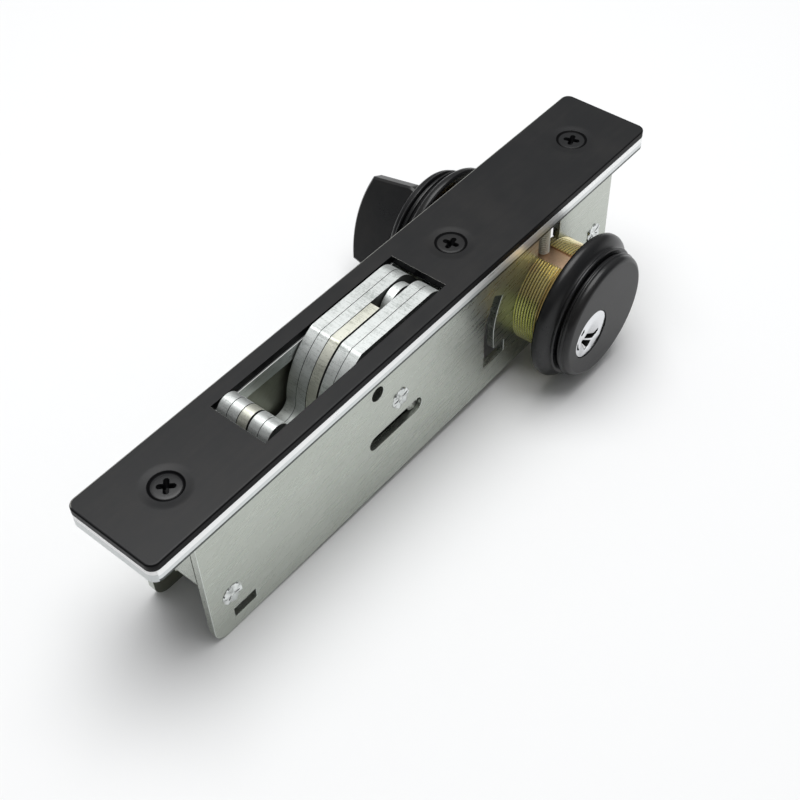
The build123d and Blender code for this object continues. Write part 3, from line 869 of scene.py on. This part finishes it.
def merged_copy(node: str, finish: Finish, edge_mm: float = 0.0, name: str = "") -> bpy.types.Object:
    """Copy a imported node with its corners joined, its flats whole and its edges softly rounded.

    Args:
        node: The node's name.
        finish: Its finish.
        edge_mm: Width of the rounding, or zero.
        name: The new piece's name, or the node's with "_skin" after it.

    Returns:
        The new object.
    """
    shape = bmesh.new()
    shape.from_mesh(frame["nodes"][node].data)
    bmesh.ops.remove_doubles(shape, verts=shape.verts, dist=2e-6)
    bmesh.ops.dissolve_limit(shape, angle_limit=math.radians(0.6), verts=shape.verts, edges=shape.edges)
    piece = from_bmesh(name or f"{node}_skin", shape, finish, 30.0, outward=False)
    return keep_flats_flat(round_edges(piece, edge_mm) if edge_mm > 0 else piece)


def paint(piece: bpy.types.Object, finish: Finish, chosen: Callable[[Face], bool]) -> None:
    """Give the chosen faces of a piece a further finish.

    Args:
        piece: The object.
        finish: The further finish.
        chosen: Tells whether a face gets it.
    """
    piece.data.materials.append(material(finish))
    index = len(piece.data.materials) - 1
    for face in piece.data.polygons:
        if chosen(face):
            face.material_index = index


def dress(finish: Finish, *nodes: str) -> None:
    """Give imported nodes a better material.

    Args:
        finish: The finish.
        *nodes: The nodes' names.
    """
    for node in nodes:
        for slot in frame["nodes"][node].material_slots:
            slot.material = material(finish)


# Geometry Nodes

class RepeatTree(NodeBoard):
    """A Geometry Nodes tree that repeats the piece it is put on."""

    def __init__(self, name: str, inputs: dict[str, str]) -> None:
        """Start a tree with geometry in and out.

        Args:
            name: Name of the tree.
            inputs: Kinds of its further inputs by name, before the material.
        """
        super().__init__(bpy.data.node_groups.new(name, "GeometryNodeTree"))
        self.tree.interface.new_socket("Geometry", in_out="OUTPUT", socket_type="NodeSocketGeometry")
        for key, kind in {"Geometry": "Geometry", **inputs, "Material": "Material"}.items():
            self.tree.interface.new_socket(key, in_out="INPUT", socket_type=f"NodeSocket{kind}")
        self.source = self.tree.nodes.new("NodeGroupInput")

    def given(self, name: str) -> Wire:
        """One of the tree's inputs as a wire."""
        return Wire(self, self.source.outputs[name])

    def end(self, geometry: Wire) -> None:
        """Realize, set the material and send out.

        Args:
            geometry: What the tree has made.
        """
        solid = self.node("GeometryNodeRealizeInstances", {}, {"Geometry": geometry})
        dressed = self.node("GeometryNodeSetMaterial", {}, {
            "Geometry": solid, "Material": self.given("Material")})
        self.feed(self.tree.nodes.new("NodeGroupOutput").inputs[0], dressed)

    def apply(self, piece: bpy.types.Object, finish: Finish, **values: Union[int, Point]) -> bpy.types.Object:
        """Run the tree on a piece and keep the plain result.

        Args:
            piece: The piece to repeat.
            finish: Its finish.
            **values: The tree's other inputs by name, with underscores for spaces.

        Returns:
            The same object with the repeated mesh.
        """
        modifier = piece.modifiers.new("repeat", "NODES")
        modifier.node_group = self.tree
        given = {"material": material(finish), **values}
        for item in self.tree.interface.items_tree:
            key = item.name.replace(" ", "_").lower()
            if item.in_out == "INPUT" and key in given:
                modifier[item.identifier] = given[key]
        smooth(bake(piece).data)
        return piece


class RowTree(RepeatTree):
    """Copies along a straight line, as thread crests stand along a cylinder."""

    def __init__(self) -> None:
        """Build the tree with its count and its step."""
        super().__init__("row_of_crests", {"Count": "Int", "Step": "Vector"})
        line = self.node("GeometryNodeMeshLine", {"mode": "OFFSET"}, {
            "Count": self.given("Count"), "Offset": self.given("Step")})
        self.end(self.node("GeometryNodeInstanceOnPoints", {}, {
            "Points": line, "Instance": self.given("Geometry")}))


class SeatTree(RepeatTree):
    """Copies seated at named places, each with its own turn, as screws and staked ends are."""

    def __init__(self, seats: int) -> None:
        """Build the tree for a number of seats.

        Args:
            seats: How many places it has.
        """
        names = [f"{word} {seat}" for seat in range(1, seats + 1) for word in ("Place", "Turn")]
        super().__init__(f"seated_at_{seats}", dict.fromkeys(names, "Vector"))
        joined = self.node("GeometryNodeJoinGeometry", {}, {})
        for seat in range(seats, 0, -1):
            moved = self.node("GeometryNodeTransform", {}, {
                "Geometry": self.given("Geometry"), "Translation": self.given(f"Place {seat}"),
                "Rotation": self.given(f"Turn {seat}")})
            self.feed(joined.socket.node.inputs[0], moved)
        self.end(joined)

    def seat(self, piece: bpy.types.Object, finish: Finish, seats: Iterable[tuple[Point, Point]]
             ) -> bpy.types.Object:
        """Run the tree for its seats.

        Args:
            piece: The piece to repeat.
            finish: Its finish.
            seats: Each seat's place in metres and turn in radians.

        Returns:
            The same object with the repeated mesh.
        """
        values = {f"{word}_{seat}": value for seat, pair in enumerate(seats, start=1)
                  for word, value in zip(("place", "turn"), pair)}
        return self.apply(piece, finish, **values)


# Sub-assemblies

@dataclass(frozen=True)
class Faceplate:
    """The black cover plate, the bright front plate and the three screws."""

    screw_turn: tuple[float, ...] = (44.0, 9.0, 20.0)
    cover_edge_mm: float = 0.16
    front_edge_mm: float = 0.45
    head_r_mm: float = 3.72
    head_top_mm: float = 5.5
    recess_reach_mm: float = 2.15
    recess_wide_mm: float = 0.64
    recess_deep_mm: float = 1.5
    flat_above: float = 0.985
    wall_below: float = 0.75
    bevel_above: float = 0.2
    far_edge_mm: float = 11.0
    screw_room_mm: float = 5.0
    window_end_mm: float = 60.0
    side_past_mm: float = 9.0
    end_past_mm: float = 80.0

    def build(self) -> None:
        """Make and dress the plates and screws."""
        cover = merged_copy("cover_plate", BLACK, self.cover_edge_mm)
        # Painted shade: the cover's side faces and window walls are painted dead black.
        paint(cover, BLACK_PAINTED_SHADE, lambda face: abs(face.normal.z) < self.wall_below)
        # Painted highlight on the cover's far edge and on its window's short edges.
        paint(cover, COVER_EDGE_PAINTED_HIGHLIGHT, self.catches_light)
        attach(cover, "case")
        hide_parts("cover_plate")
        front = merged_copy("front_plate", FRONT, self.front_edge_mm)
        # Painted highlight on the front plate's upper bevels.
        paint(front, LEDGE_PAINTED_HIGHLIGHT, lambda face: self.bevel_above < face.normal.z < self.flat_above)
        # Painted light on the front plate's sides and ends: a white highlight along the top and a shadow line
        # at the foot.
        paint(front, FRONT_SIDE_PAINTED_LIGHT, lambda face: (
            abs(face.normal.y) > 0.9 and abs(face.center.y) > self.side_past_mm * MM))
        paint(front, FRONT_END_PAINTED_HIGHLIGHT, lambda face: (
            abs(face.normal.x) > 0.4 and abs(face.normal.z) < self.bevel_above
            and abs(face.center.x) > self.end_past_mm * MM))
        # Painted shadow on the front plate's lower bevels.
        paint(front, SEAM_PAINTED_SHADOW, lambda face: -self.flat_above < face.normal.z < -self.bevel_above)
        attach(front, "case")
        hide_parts("front_plate")
        self.screws()

    def catches_light(self, face: Face) -> bool:
        """Tell whether a face is on the far edge of the cover, or on a short edge of its window, where a
        highlight is painted.

        Args:
            face: A face of the cover.

        Returns:
            Whether it is.
        """
        if not self.wall_below < face.normal.z < self.flat_above:
            return False
        far_edge = face.center.y > self.far_edge_mm * MM and face.normal.y > 0.1
        clear = min(abs(face.center.x - x * MM) for x in COVER_SCREW_X_MM) > self.screw_room_mm * MM
        window_end = abs(face.normal.x) > 0.1 and abs(face.center.x) < self.window_end_mm * MM
        return far_edge or (clear and window_end)

    def screw_head(self) -> bpy.types.Object:
        """One screw head at the origin with its cross recess, top at z = 0.

        Returns:
            The head.
        """
        r = self.head_r_mm
        outline = [(0, -3.0), (2.0, -3.0), (2.0, -1.75), (r - 0.25, -0.35), (r, -0.2), (r - 0.12, -0.08),
                   (r - 0.4, 0.0), (2.6, 0.05), (1.2, 0.07), (0, 0.07)]
        head = lathe("screw_head", outline, (0, 0), Side.TURN, BLACK_GLOSS, 72)
        head.data.transform(Matrix.Rotation(math.radians(90), 4, "X"))
        for turn in (0.0, 90.0):
            cutter = self.blade(turn)
            modified(head, "BOOLEAN", operation="DIFFERENCE", solver="EXACT", object=cutter)
            bpy.data.objects.remove(cutter)
        return head

    def blade(self, turn: float) -> bpy.types.Object:
        """One tapering blade of the cross, as a cutter.

        Args:
            turn: Its turn about Z in degrees.

        Returns:
            The cutter.
        """
        reach, wide = self.recess_reach_mm, self.recess_wide_mm
        rings = []
        for z, half, thick in ((0.5, reach + 0.25, wide + 0.12), (-0.35, reach - 0.3, wide - 0.05),
                               (-self.recess_deep_mm, reach * 0.35, wide * 0.45)):
            near, tip = half - thick * 0.6, thick * 0.4
            corners = [(-near, -thick), (near, -thick), (half, -tip), (half, tip), (near, thick),
                       (-near, thick), (-half, tip), (-half, -tip)]
            rings.append([(x * MM, y * MM, z * MM) for x, y in corners])
        cutter = skin("recess_blade", rings, None, capped=True)
        cutter.data.transform(Matrix.Rotation(math.radians(turn), 4, "Z"))
        return cutter

    def screws(self) -> None:
        """Seat the three screws, with painted shade in dead black on their recesses' walls and their rims."""
        seats = [((x * MM, 0.0, self.head_top_mm * MM), (0.0, 0.0, math.radians(turn)))
                 for x, turn in zip(COVER_SCREW_X_MM, self.screw_turn)]
        screws = SeatTree(len(seats)).seat(self.screw_head(), BLACK_GLOSS, seats)
        screws.name = "cover_screw_heads"

        def in_shade(face: Face) -> bool:
            """Tell whether a face is in a recess or on a head's rim.

            Args:
                face: A face of the screws.

            Returns:
                Whether it is.
            """
            x = min((face.center.x - s * MM for s in COVER_SCREW_X_MM), key=abs)
            off = math.hypot(x, face.center.y)
            deep = off < (self.recess_reach_mm + 0.3) * MM and face.center.z < (self.head_top_mm - 0.05) * MM
            return deep or off > (self.head_r_mm - 0.3) * MM

        # Painted shade: the recesses and the heads' rims are painted dead black.
        paint(screws, BLACK_PAINTED_SHADE, in_shade)
        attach(screws, "case")
        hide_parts("cover_screws")


@dataclass(frozen=True)
class Case:
    """The two side plates, their posts and the star-punched ends of the posts."""

    stake_places_mm: tuple[Spot, ...] = ((-69.9, -26.6), (70.2, -18.9), (-11.4, -13.8))
    stake_turn: float = 17.0
    edge_mm: float = 0.26
    wall_face_mm: float = 10.75
    stake_r_mm: float = 2.95
    star_points: int = 6
    star_steps: int = 72

    def build(self) -> None:
        """Make and dress the case."""
        for side in Side:
            node = f"case_side_{side.word}"
            piece = merged_copy(node, CASE, self.edge_mm)
            # Painted shade on the inner faces of each case side.
            paint(piece, CASE_INSIDE_PAINTED_SHADE, lambda face: face.normal.y * side.value < -0.9)
            # Painted highlight: the outer bevels facing the nose end are painted near white.
            paint(piece, FOLD_PAINTED_HIGHLIGHT, lambda face: face.normal.y * side.value > 0.25 and face.normal.x < -0.25)
            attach(piece, "case")
            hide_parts(node)
        dress(STEEL, "spacer_posts", "hook_pivot_pin")
        for side in Side:
            self.stakes(side)

    def stakes(self, side: Side) -> None:
        """Raise the star-punched ends on one wall.

        Args:
            side: The wall.
        """
        rings = []
        for share, high in ((1.0, -0.25), (1.0, 0.12), (0.93, 0.34), (0.7, 0.42), (0.42, 0.36), (0.2, 0.2)):
            ring = []
            for step in range(self.star_steps):
                a = 2 * math.pi * step / self.star_steps
                star = 0.5 + 0.5 * math.cos(self.star_points * a)
                lift = high * (0.35 + 0.95 * star ** 1.5) if high > 0 else high
                reach = self.stake_r_mm * share * (1.0 - 0.05 * (1 - star))
                ring.append((reach * MM * math.cos(a), -lift * MM, reach * MM * math.sin(a)))
            rings.append(ring)
        cap = skin(f"{side.word}_staked_ends", rings, STAKE, capped=True, below=50.0)
        flip = 0.0 if side is Side.KEY else math.pi
        seats = [((x * MM, side.value * self.wall_face_mm * MM, z * MM),
                  (0.0, math.radians(self.stake_turn * seat), flip))
                 for seat, (x, z) in enumerate(self.stake_places_mm, start=1)]
        caps = SeatTree(len(seats)).seat(cap, STAKE, seats)
        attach(caps, "case")


@dataclass(frozen=True)
class Hook:
    """The five hook plates and what turns with them."""

    edge_mm: float = 0.2
    side_normal: float = 0.4

    def build(self) -> None:
        """Make and dress the hook, with painted shade, dark and dull, on the flat sides between the plates.
        """
        for node in (*(f"hook_ply_{number}" for number in range(1, 6)), "drive_lever"):
            piece = merged_copy(node, CENTRE_PLY if node == "hook_ply_3" else PLY, self.edge_mm)
            # Painted shade on the flat sides between the plates.
            paint(piece, PLY_SIDE_PAINTED_SHADE, lambda face: abs(face.normal.y) > self.side_normal)
            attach(piece, "hook")
            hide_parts(node)
        dress(STEEL, "hook_rivets", "lever_pin", "drive_pin", "strike_pin")
        # The drive bars are darkened as painted shade.
        dress(BAR_PAINTED_SHADE, "drive_bar_key", "drive_bar_turn")


@dataclass(frozen=True)
class Cylinder:
    """One threaded cylinder with its head, ring, washer and, on its inner end, the cam."""

    side: Side
    standoff_mm: float = 0.0
    axis_mm: Spot = (48.4, -22.9)
    plug_mm: Spot = PLUG_MM
    thread_r_mm: float = 14.6
    thread_deep_mm: float = 0.58
    root_gap_mm: float = 0.03
    crest_round_mm: float = 0.12
    crest_steps: int = 132
    section_steps: int = 120
    pitch_mm: float = 0.794
    neck_edge_mm: float = 0.1
    neck_wall_mm: float = 1.2
    core_past_mm: float = 0.2
    inner_mm: float = 8.75
    thread_end_mm: float = 17.6
    head_start_mm: float = 26.85
    face_mm: float = 29.3
    head_r_mm: float = 17.0
    head_edge_mm: float = 1.5
    head_hole_mm: float = 14.2
    groove_off_mm: float = -1.6
    groove_half_mm: float = 2.6
    groove_floor_mm: float = 13.6
    bore_r_mm: float = 6.81
    seam_turn: float = 0.001

    def out(self, distance: float) -> float:
        """Distance from the mid-plane with this side's standoff."""
        return distance + self.standoff_mm

    @property
    def centre(self) -> Spot:
        """X and Z of the shell's axis, in metres."""
        return (self.axis_mm[0] * MM, self.axis_mm[1] * MM)

    def bore(self, steps: int) -> list[Spot]:
        """The plug's hole, in metres."""
        return circle((self.plug_mm[0] * MM, self.plug_mm[1] * MM), self.bore_r_mm * MM, steps)

    def named(self, what: str) -> str:
        """Name of a piece or node of this side."""
        return f"{self.side.word}_{what}"

    def build(self, row: RowTree) -> None:
        """Make and dress the cylinder.

        Args:
            row: The tree that repeats thread crests.
        """
        self.core()
        self.threads(row)
        self.head()
        self.ring()
        washer = [(14.9, 25.75), (16.3, 25.75), (16.6, 25.95), (16.7, 26.23), (16.6, 26.5), (16.3, 26.7),
                  (14.9, 26.7)]
        self.turned("spring_washer", washer, f"{self.side.word}_ring_washer")
        dress(STEEL, self.named("cam"), self.named("cam_screws"))

    def arc(self, radius: float, steps: int, edge_radius: float) -> list[Spot]:
        """The round part of a section, from one side of the groove to the other, in metres.

        Args:
            radius: Its radius, in millimetres.
            steps: Number of steps.
            edge_radius: Radius at which it meets the groove's sides, in millimetres.

        Returns:
            The points.
        """
        sides = (self.groove_off_mm - self.groove_half_mm, self.groove_off_mm + self.groove_half_mm)
        start, end = (math.degrees(math.acos(side / edge_radius)) for side in sides)
        return circle(self.centre, radius * MM, steps, start, 360.0 + end - start - self.seam_turn)

    def section(self, radius: float) -> list[Spot]:
        """A round section with the groove's flat floor, in metres.

        Args:
            radius: Radius of the round part, in millimetres.

        Returns:
            The points.
        """
        floor = self.centre[1] + self.groove_floor_mm * MM
        return self.arc(radius, self.section_steps, radius) + [
            (self.centre[0] + (self.groove_off_mm + half) * MM, floor)
            for half in (self.groove_half_mm, -self.groove_half_mm)]

    def span(self, inner: float, outer: float) -> tuple[float, float]:
        """Lower and higher Y, in metres, of a span measured outwards, in millimetres."""
        low, high = sorted(self.side.value * reach * MM for reach in (inner, outer))
        return low, high

    def core(self) -> None:
        """The body under the thread's crests, dark with painted shade, with the groove along its top, and the
        plain neck.
        """
        end, start = self.out(self.thread_end_mm), self.out(self.head_start_mm)
        hole = circle(self.centre, (self.thread_r_mm - self.neck_wall_mm) * MM, 96)
        neck = slab(self.named("plain_neck"), [self.section(self.thread_r_mm - self.neck_edge_mm), hole],
                    *self.span(end + self.neck_edge_mm, start), NECK, self.neck_edge_mm)
        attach(neck, "case")
        # The body under the crests is painted dark as the shade in the thread roots.
        body = slab(self.named("shell_core"),
                    [self.section(self.thread_r_mm - self.thread_deep_mm), self.bore(64)],
                    *self.span(self.inner_mm, start + self.core_past_mm), ROOT_PAINTED_SHADE)
        paint(body, GROOVE, self.in_groove)
        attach(body, "case")
        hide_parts(f"{self.side.word}_cylinder_shell")

    def in_groove(self, face: Face) -> bool:
        """Tell whether a face of the shell lies in its groove.

        Args:
            face: A face of the shell.

        Returns:
            Whether it does.
        """
        x, z = face.center.x - self.centre[0], face.center.z - self.centre[1]
        beside = abs(x - self.groove_off_mm * MM) < (self.groove_half_mm + 0.01) * MM
        return beside and z > (self.groove_floor_mm - 0.6) * MM and abs(face.normal.y) < 0.5

    def threads(self, row: RowTree) -> None:
        """The crests of the thread, open at the groove.

        Args:
            row: The tree that repeats one crest.
        """
        half, top = self.pitch_mm / 2, self.thread_r_mm
        root, flank = top - self.thread_deep_mm - self.root_gap_mm, top - self.crest_round_mm
        section = ((root, -0.58), (flank, -0.3), (top, -0.08), (top, 0.08), (flank, 0.3), (root, 0.58))
        arcs = [[(x, self.side.value * (self.inner_mm + half + half * share) * MM, z)
                 for x, z in self.arc(radius, self.crest_steps, top)] for radius, share in section]
        crest = skin(self.named("thread_crests"), list(zip(*arcs)), YELLOW, capped=True)
        count = int((self.out(self.thread_end_mm) - self.inner_mm) / self.pitch_mm)
        crests = row.apply(crest, YELLOW, count=count, step=(0.0, self.side.value * self.pitch_mm * MM, 0.0))
        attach(crests, "case")

    def head(self) -> None:
        """The black head with its eccentric opening for the plug."""
        r, edge, hole = self.head_r_mm, self.head_edge_mm, self.head_hole_mm
        start, face = self.out(self.head_start_mm), self.out(self.face_mm)
        outline = [(hole, start), (r + 0.1, start), (r + 0.3, start + 0.12), (r + 0.3, start + 0.38),
                   (r + 0.1, start + 0.6), (r, start + 0.8),
                   *circle((r - edge, face - edge), edge, 10, 0.0, 90.0), (hole, face)]
        head = lathe(self.named("head"), outline, self.centre, self.side, BLACK_GLOSS, open_ends=True)
        shape = bmesh.new()
        shape.from_mesh(head.data)
        rim = [e for e in shape.edges if e.is_boundary and all(
            abs(abs(v.co.y) - face * MM) < NEAR for v in e.verts)]
        mouth = loop(shape, self.bore(96), self.side.value * face * MM)
        bmesh.ops.triangle_fill(shape, edges=rim + mouth, use_beauty=True)
        lips = bmesh.ops.extrude_edge_only(shape, edges=mouth)
        push(shape, lips, -self.side.value * (self.face_mm - self.head_start_mm) * MM)
        back = [e for e in shape.edges if e.is_boundary]
        bmesh.ops.triangle_fill(shape, edges=back, use_beauty=True)
        bmesh.ops.recalc_face_normals(shape, faces=shape.faces)
        shape.to_mesh(head.data)
        shape.free()
        smooth(head.data, 40.0)
        paint(head, BLACK_FACE, lambda flat: (
            self.side.value * flat.normal.y > 0.99 and abs(abs(flat.center.y) - face * MM) < 10 * NEAR))
        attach(head, "case")

    def ring(self) -> None:
        """The hollow flared ring behind the head, with its rounded rim, waist and front lip, and painted
        shade in its hollow.
        """
        inside = [(14.9, 25.2), (16.5, 25.2), (16.9, 24.6), (17.15, 23.6), (17.6, 22.6), (18.1, 21.6),
                  (18.5, 20.7)]
        rim = [(18.75, 20.25), (19.4, 20.18), (19.85, 20.35), (20.15, 20.8), (20.2, 21.4), (20.15, 22.0),
               (19.9, 22.5)]
        waist = [(19.45, 22.95), (18.9, 23.35), (18.35, 23.7), (17.9, 24.0), (17.65, 24.3), (17.6, 24.55)]
        lip = [(17.72, 24.72), (17.92, 24.85), (18.0, 25.05), (17.95, 25.3), (17.75, 25.48), (17.5, 25.53),
               (14.9, 25.53)]
        ring = self.turned("flared_ring", inside + rim + waist + lip, f"{self.side.word}_collar_ring")

        def in_hollow(face: Face) -> bool:
            """Tell whether a face looks towards the axis or inwards."""
            away = Vector((face.center.x - self.centre[0], 0.0, face.center.z - self.centre[1]))
            return face.normal.dot(away.normalized()) < -0.02 or self.side.value * face.normal.y < -0.4

        # Painted shade: the faces in the ring's hollow are painted dead black.
        paint(ring, BLACK_PAINTED_SHADE, in_hollow)

    def turned(self, what: str, section: Sequence[Spot], node: str) -> bpy.types.Object:
        """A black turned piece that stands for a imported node.

        Args:
            what: The piece's name after the side's word.
            section: Closed section of (radius, distance from the mid-plane), in millimetres.
            node: The node it replaces.

        Returns:
            The piece.
        """
        outline = [(radius, self.out(distance)) for radius, distance in section]
        piece = lathe(self.named(what), outline, self.centre, self.side, BLACK_GLOSS)
        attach(piece, "case")
        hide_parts(node)
        return piece


@dataclass(frozen=True)
class KeyPlug:
    """The bright plug with its warded keyway."""

    centre_mm: Spot = PLUG_MM
    radius_mm: float = 6.62
    inner_mm: float = 7.1
    face_mm: float = 29.15
    edge_mm: float = 0.12
    dark_within_mm: float = 6.3
    floor_r_mm: float = 6.2
    keyway_mm: tuple[tuple[Spot, ...], ...] = (
        ((3.6, -0.55), (3.65, -1.2), (3.3, -1.75), (2.4, -1.9), (0.95, -2.15), (-0.6, -1.1), (-3.1, 0.8),
         (-1.9, 1.55), (1.35, -0.75)),
        ((0.45, -2.55), (-0.65, -3.55), (-1.35, -3.9), (-2.35, -3.95), (-4.3, 0.15), (-4.1, 0.7),
         (-3.55, 0.65), (-2.2, -0.5)),
        ((-3.1, 3.7), (-3.3, 3.2), (-4.3, 2.5), (-4.75, 3.2), (-3.6, 4.2)),
        ((-6.0, 0.9), (-5.6, 0.5), (-5.5, -0.4), (-4.8, -2.2), (-6.0, -1.2)),
    )
    ward_mm: tuple[Spot, ...] = ((-4.15, 0.1), (-1.45, -3.75), (-2.25, -3.8))

    def build(self) -> None:
        """Make the plug."""
        low, high = -self.face_mm * MM, -self.inner_mm * MM
        centre, = self.placed([(0.0, 0.0)])
        outline = circle(centre, self.radius_mm * MM, 96)
        plug = slab("key_plug_body", [outline, *(self.placed(hole) for hole in self.keyway_mm)], low, high,
                    CHROME, self.edge_mm)
        # Painted shade: the keyway's walls near the axis are painted near black.
        paint(plug, KEYWAY_PAINTED_SHADE, lambda wall: abs(wall.normal.y) < 0.3 and math.hypot(
            wall.center.x - centre[0], wall.center.z - centre[1]) < self.dark_within_mm * MM)
        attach(plug, "key_barrel")
        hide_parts("key_plug")
        # A white triangular slab in the keyway carries a painted highlight.
        ward = slab("keyway_ward", [self.placed(self.ward_mm)], low + 0.1 * MM, low + 6.0 * MM, WARD_PAINTED_HIGHLIGHT)
        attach(ward, "key_barrel")
        # A near-black disc deep in the keyway stands for painted shade, not for a part.
        r = self.floor_r_mm
        disc = [(0, 9.0), (r, 9.0), (r, 9.4), (0, 9.4)]
        floor = lathe("keyway_floor", disc, centre, Side.KEY, KEYWAY_PAINTED_SHADE, 48)
        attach(floor, "key_barrel")

    def placed(self, points: Iterable[Spot]) -> list[Spot]:
        """Points about the plug's axis, in millimetres, put in the frame, in metres."""
        return [((self.centre_mm[0] + x) * MM, (self.centre_mm[1] + z) * MM) for x, z in points]


@dataclass(frozen=True)
class SetScrews:
    """The two threaded screws that lock the cylinders in place."""

    x_mm: float = 46.8
    y_mm: float = 10.2
    radius_mm: float = 1.6
    thread_deep_mm: float = 0.34
    foot_mm: float = -9.25
    top_mm: float = 3.6
    pitch_mm: float = 0.6
    steps: int = 40

    def build(self, row: RowTree) -> None:
        """Make both screws.

        Args:
            row: The tree that repeats one crest.
        """
        half, top = self.pitch_mm / 2, self.radius_mm
        root = top - self.thread_deep_mm
        profile = ((0.0, -1.0), (root, -1.0), (root, -0.45), (top, -0.1), (top, 0.25), (root, 0.6),
                   (root, 1.0), (0.0, 1.0))
        for side in Side:
            x, y = self.x_mm * MM, side.value * self.y_mm * MM
            rings = [[(*spot, (self.foot_mm + half + half * share) * MM)
                      for spot in circle((x, y), radius * MM, self.steps)] for radius, share in profile]
            crest = skin(f"{side.word}_set_screw", rings, THREAD_SCREW)
            count = int((self.top_mm - self.foot_mm) / self.pitch_mm)
            screw = row.apply(crest, THREAD_SCREW, count=count, step=(0.0, 0.0, self.pitch_mm * MM))
            # Painted shade: the roots of the set screw's thread are painted dark.
            paint(screw, ROOT_PAINTED_SHADE, lambda face: abs(face.normal.z) < 0.1 and math.hypot(
                face.center.x - x, face.center.y - y) < (root + 0.02) * MM)
            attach(screw, "case")
            if side is Side.KEY:
                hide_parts("cylinder_set_screws")


@dataclass(frozen=True)
class ThumbTurn:
    """The black paddle and its spindle."""

    edge_mm: float = 0.35

    def build(self) -> None:
        """Dress the paddle and the spindle."""
        paddle = merged_copy("thumb_turn", BLACK_GLOSS, name="thumb_turn_paddle")
        keep_flats_flat(round_edges(paddle, self.edge_mm, 3, 25.0))
        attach(paddle, "turn_barrel")
        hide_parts("thumb_turn")
        dress(STEEL, "turn_spindle")


# Stage

@dataclass(frozen=True)
class Studio:
    """Pale floor, soft light and the camera at the photograph's viewpoint."""

    camera_place: Point = (-0.16246388, -0.14190864, 0.20979309)
    right: Point = (0.63496245, -0.77216079, -0.02429796)
    up: Point = (0.58694059, 0.46172445, 0.66506487)
    back: Point = (-0.50231806, -0.43655268, 0.7463902)
    lens_mm: float = 57.538
    near_foot: Spot = (-0.0727, -0.0393)
    far_foot: Spot = (0.0484, -0.0431)
    floor_half: float = 3.0
    low_light: float = 0.13
    high_light: float = 0.5
    dim_end: float = 0.25
    lamp_place: Point = (0.12, 0.1, 0.95)
    lamp_aim: Point = (0.0, 0.0, -0.02)
    lamp_size: float = 0.8
    lamp_power: float = 9.8

    def build(self) -> None:
        """Make the floor, the world, the lamp and the camera."""
        self.floor()
        self.world()
        self.lamp()
        self.camera()

    def floor(self) -> None:
        """A wide plane under the two rings and the near end of the case, 0.1 mm clear of them."""
        slope = (self.far_foot[1] - self.near_foot[1]) / (self.far_foot[0] - self.near_foot[0])
        half = self.floor_half
        corners = [(x, y, self.near_foot[1] + slope * (x - self.near_foot[0]) - 0.1 * MM) for x, y in
                   ((-half, -half), (half, -half), (half, half), (-half, half))]
        mesh = bpy.data.meshes.new("floor")
        mesh.from_pydata(corners, [], [(0, 1, 2, 3)])
        put_in_scene("floor", mesh, FLOOR)

    def world(self) -> None:
        """A white room, brightest overhead, dim at the height of the table and past the nose end."""
        world = bpy.data.worlds.new("white_room")
        bpy.context.scene.world = world
        world.use_nodes = True
        board = NodeBoard(world.node_tree)
        x, _, z = board.split(board.node("ShaderNodeTexCoord", {}, {}, "Generated"))
        rise = z.stepped(-0.05, 0.8, self.low_light, self.high_light)
        background = world.node_tree.nodes["Background"]
        board.feed(background.inputs[0], rise * x.stepped(-0.95, 0.15, self.dim_end, 1.0))
        background.inputs[1].default_value = 1.0

    def lamp(self) -> None:
        """A wide soft lamp overhead."""
        lamp = bpy.data.lights.new("top_softbox", "AREA")
        lamp.shape = "SQUARE"
        lamp.size = self.lamp_size
        lamp.energy = self.lamp_power
        thing = bpy.data.objects.new("top_softbox", lamp)
        bpy.context.scene.collection.objects.link(thing)
        thing.location = self.lamp_place
        aim = Vector(self.lamp_aim) - Vector(self.lamp_place)
        thing.rotation_euler = aim.to_track_quat("-Z", "Y").to_euler()

    def camera(self) -> None:
        """The camera, from the pose worked out from the photograph."""
        data = bpy.data.cameras.new("camera")
        data.sensor_width = 36.0
        data.sensor_fit = "HORIZONTAL"
        data.lens = self.lens_mm
        data.clip_start = 0.01
        thing = bpy.data.objects.new("camera", data)
        bpy.context.scene.collection.objects.link(thing)
        turn = Matrix((self.right, self.up, self.back)).transposed()
        thing.matrix_world = Matrix.Translation(self.camera_place) @ turn.to_4x4()
        bpy.context.scene.camera = thing


def main() -> None:
    """Build every sub-assembly in order and report each piece."""
    logging.basicConfig(level=logging.INFO, format="%(name)s: %(message)s")
    bpy.context.scene.view_settings.view_transform = "Standard"
    Studio().build()
    row = RowTree()
    Faceplate().build()
    Case().build()
    Hook().build()
    Cylinder(Side.KEY).build(row)
    Cylinder(Side.TURN, standoff_mm=0.5).build(row)
    KeyPlug().build()
    SetScrews().build(row)
    ThumbTurn().build()
    for piece in bpy.context.scene.objects:
        LOG.info("%s: %s", piece.name, piece.type.lower())


if __name__ == "__main__":
    main()
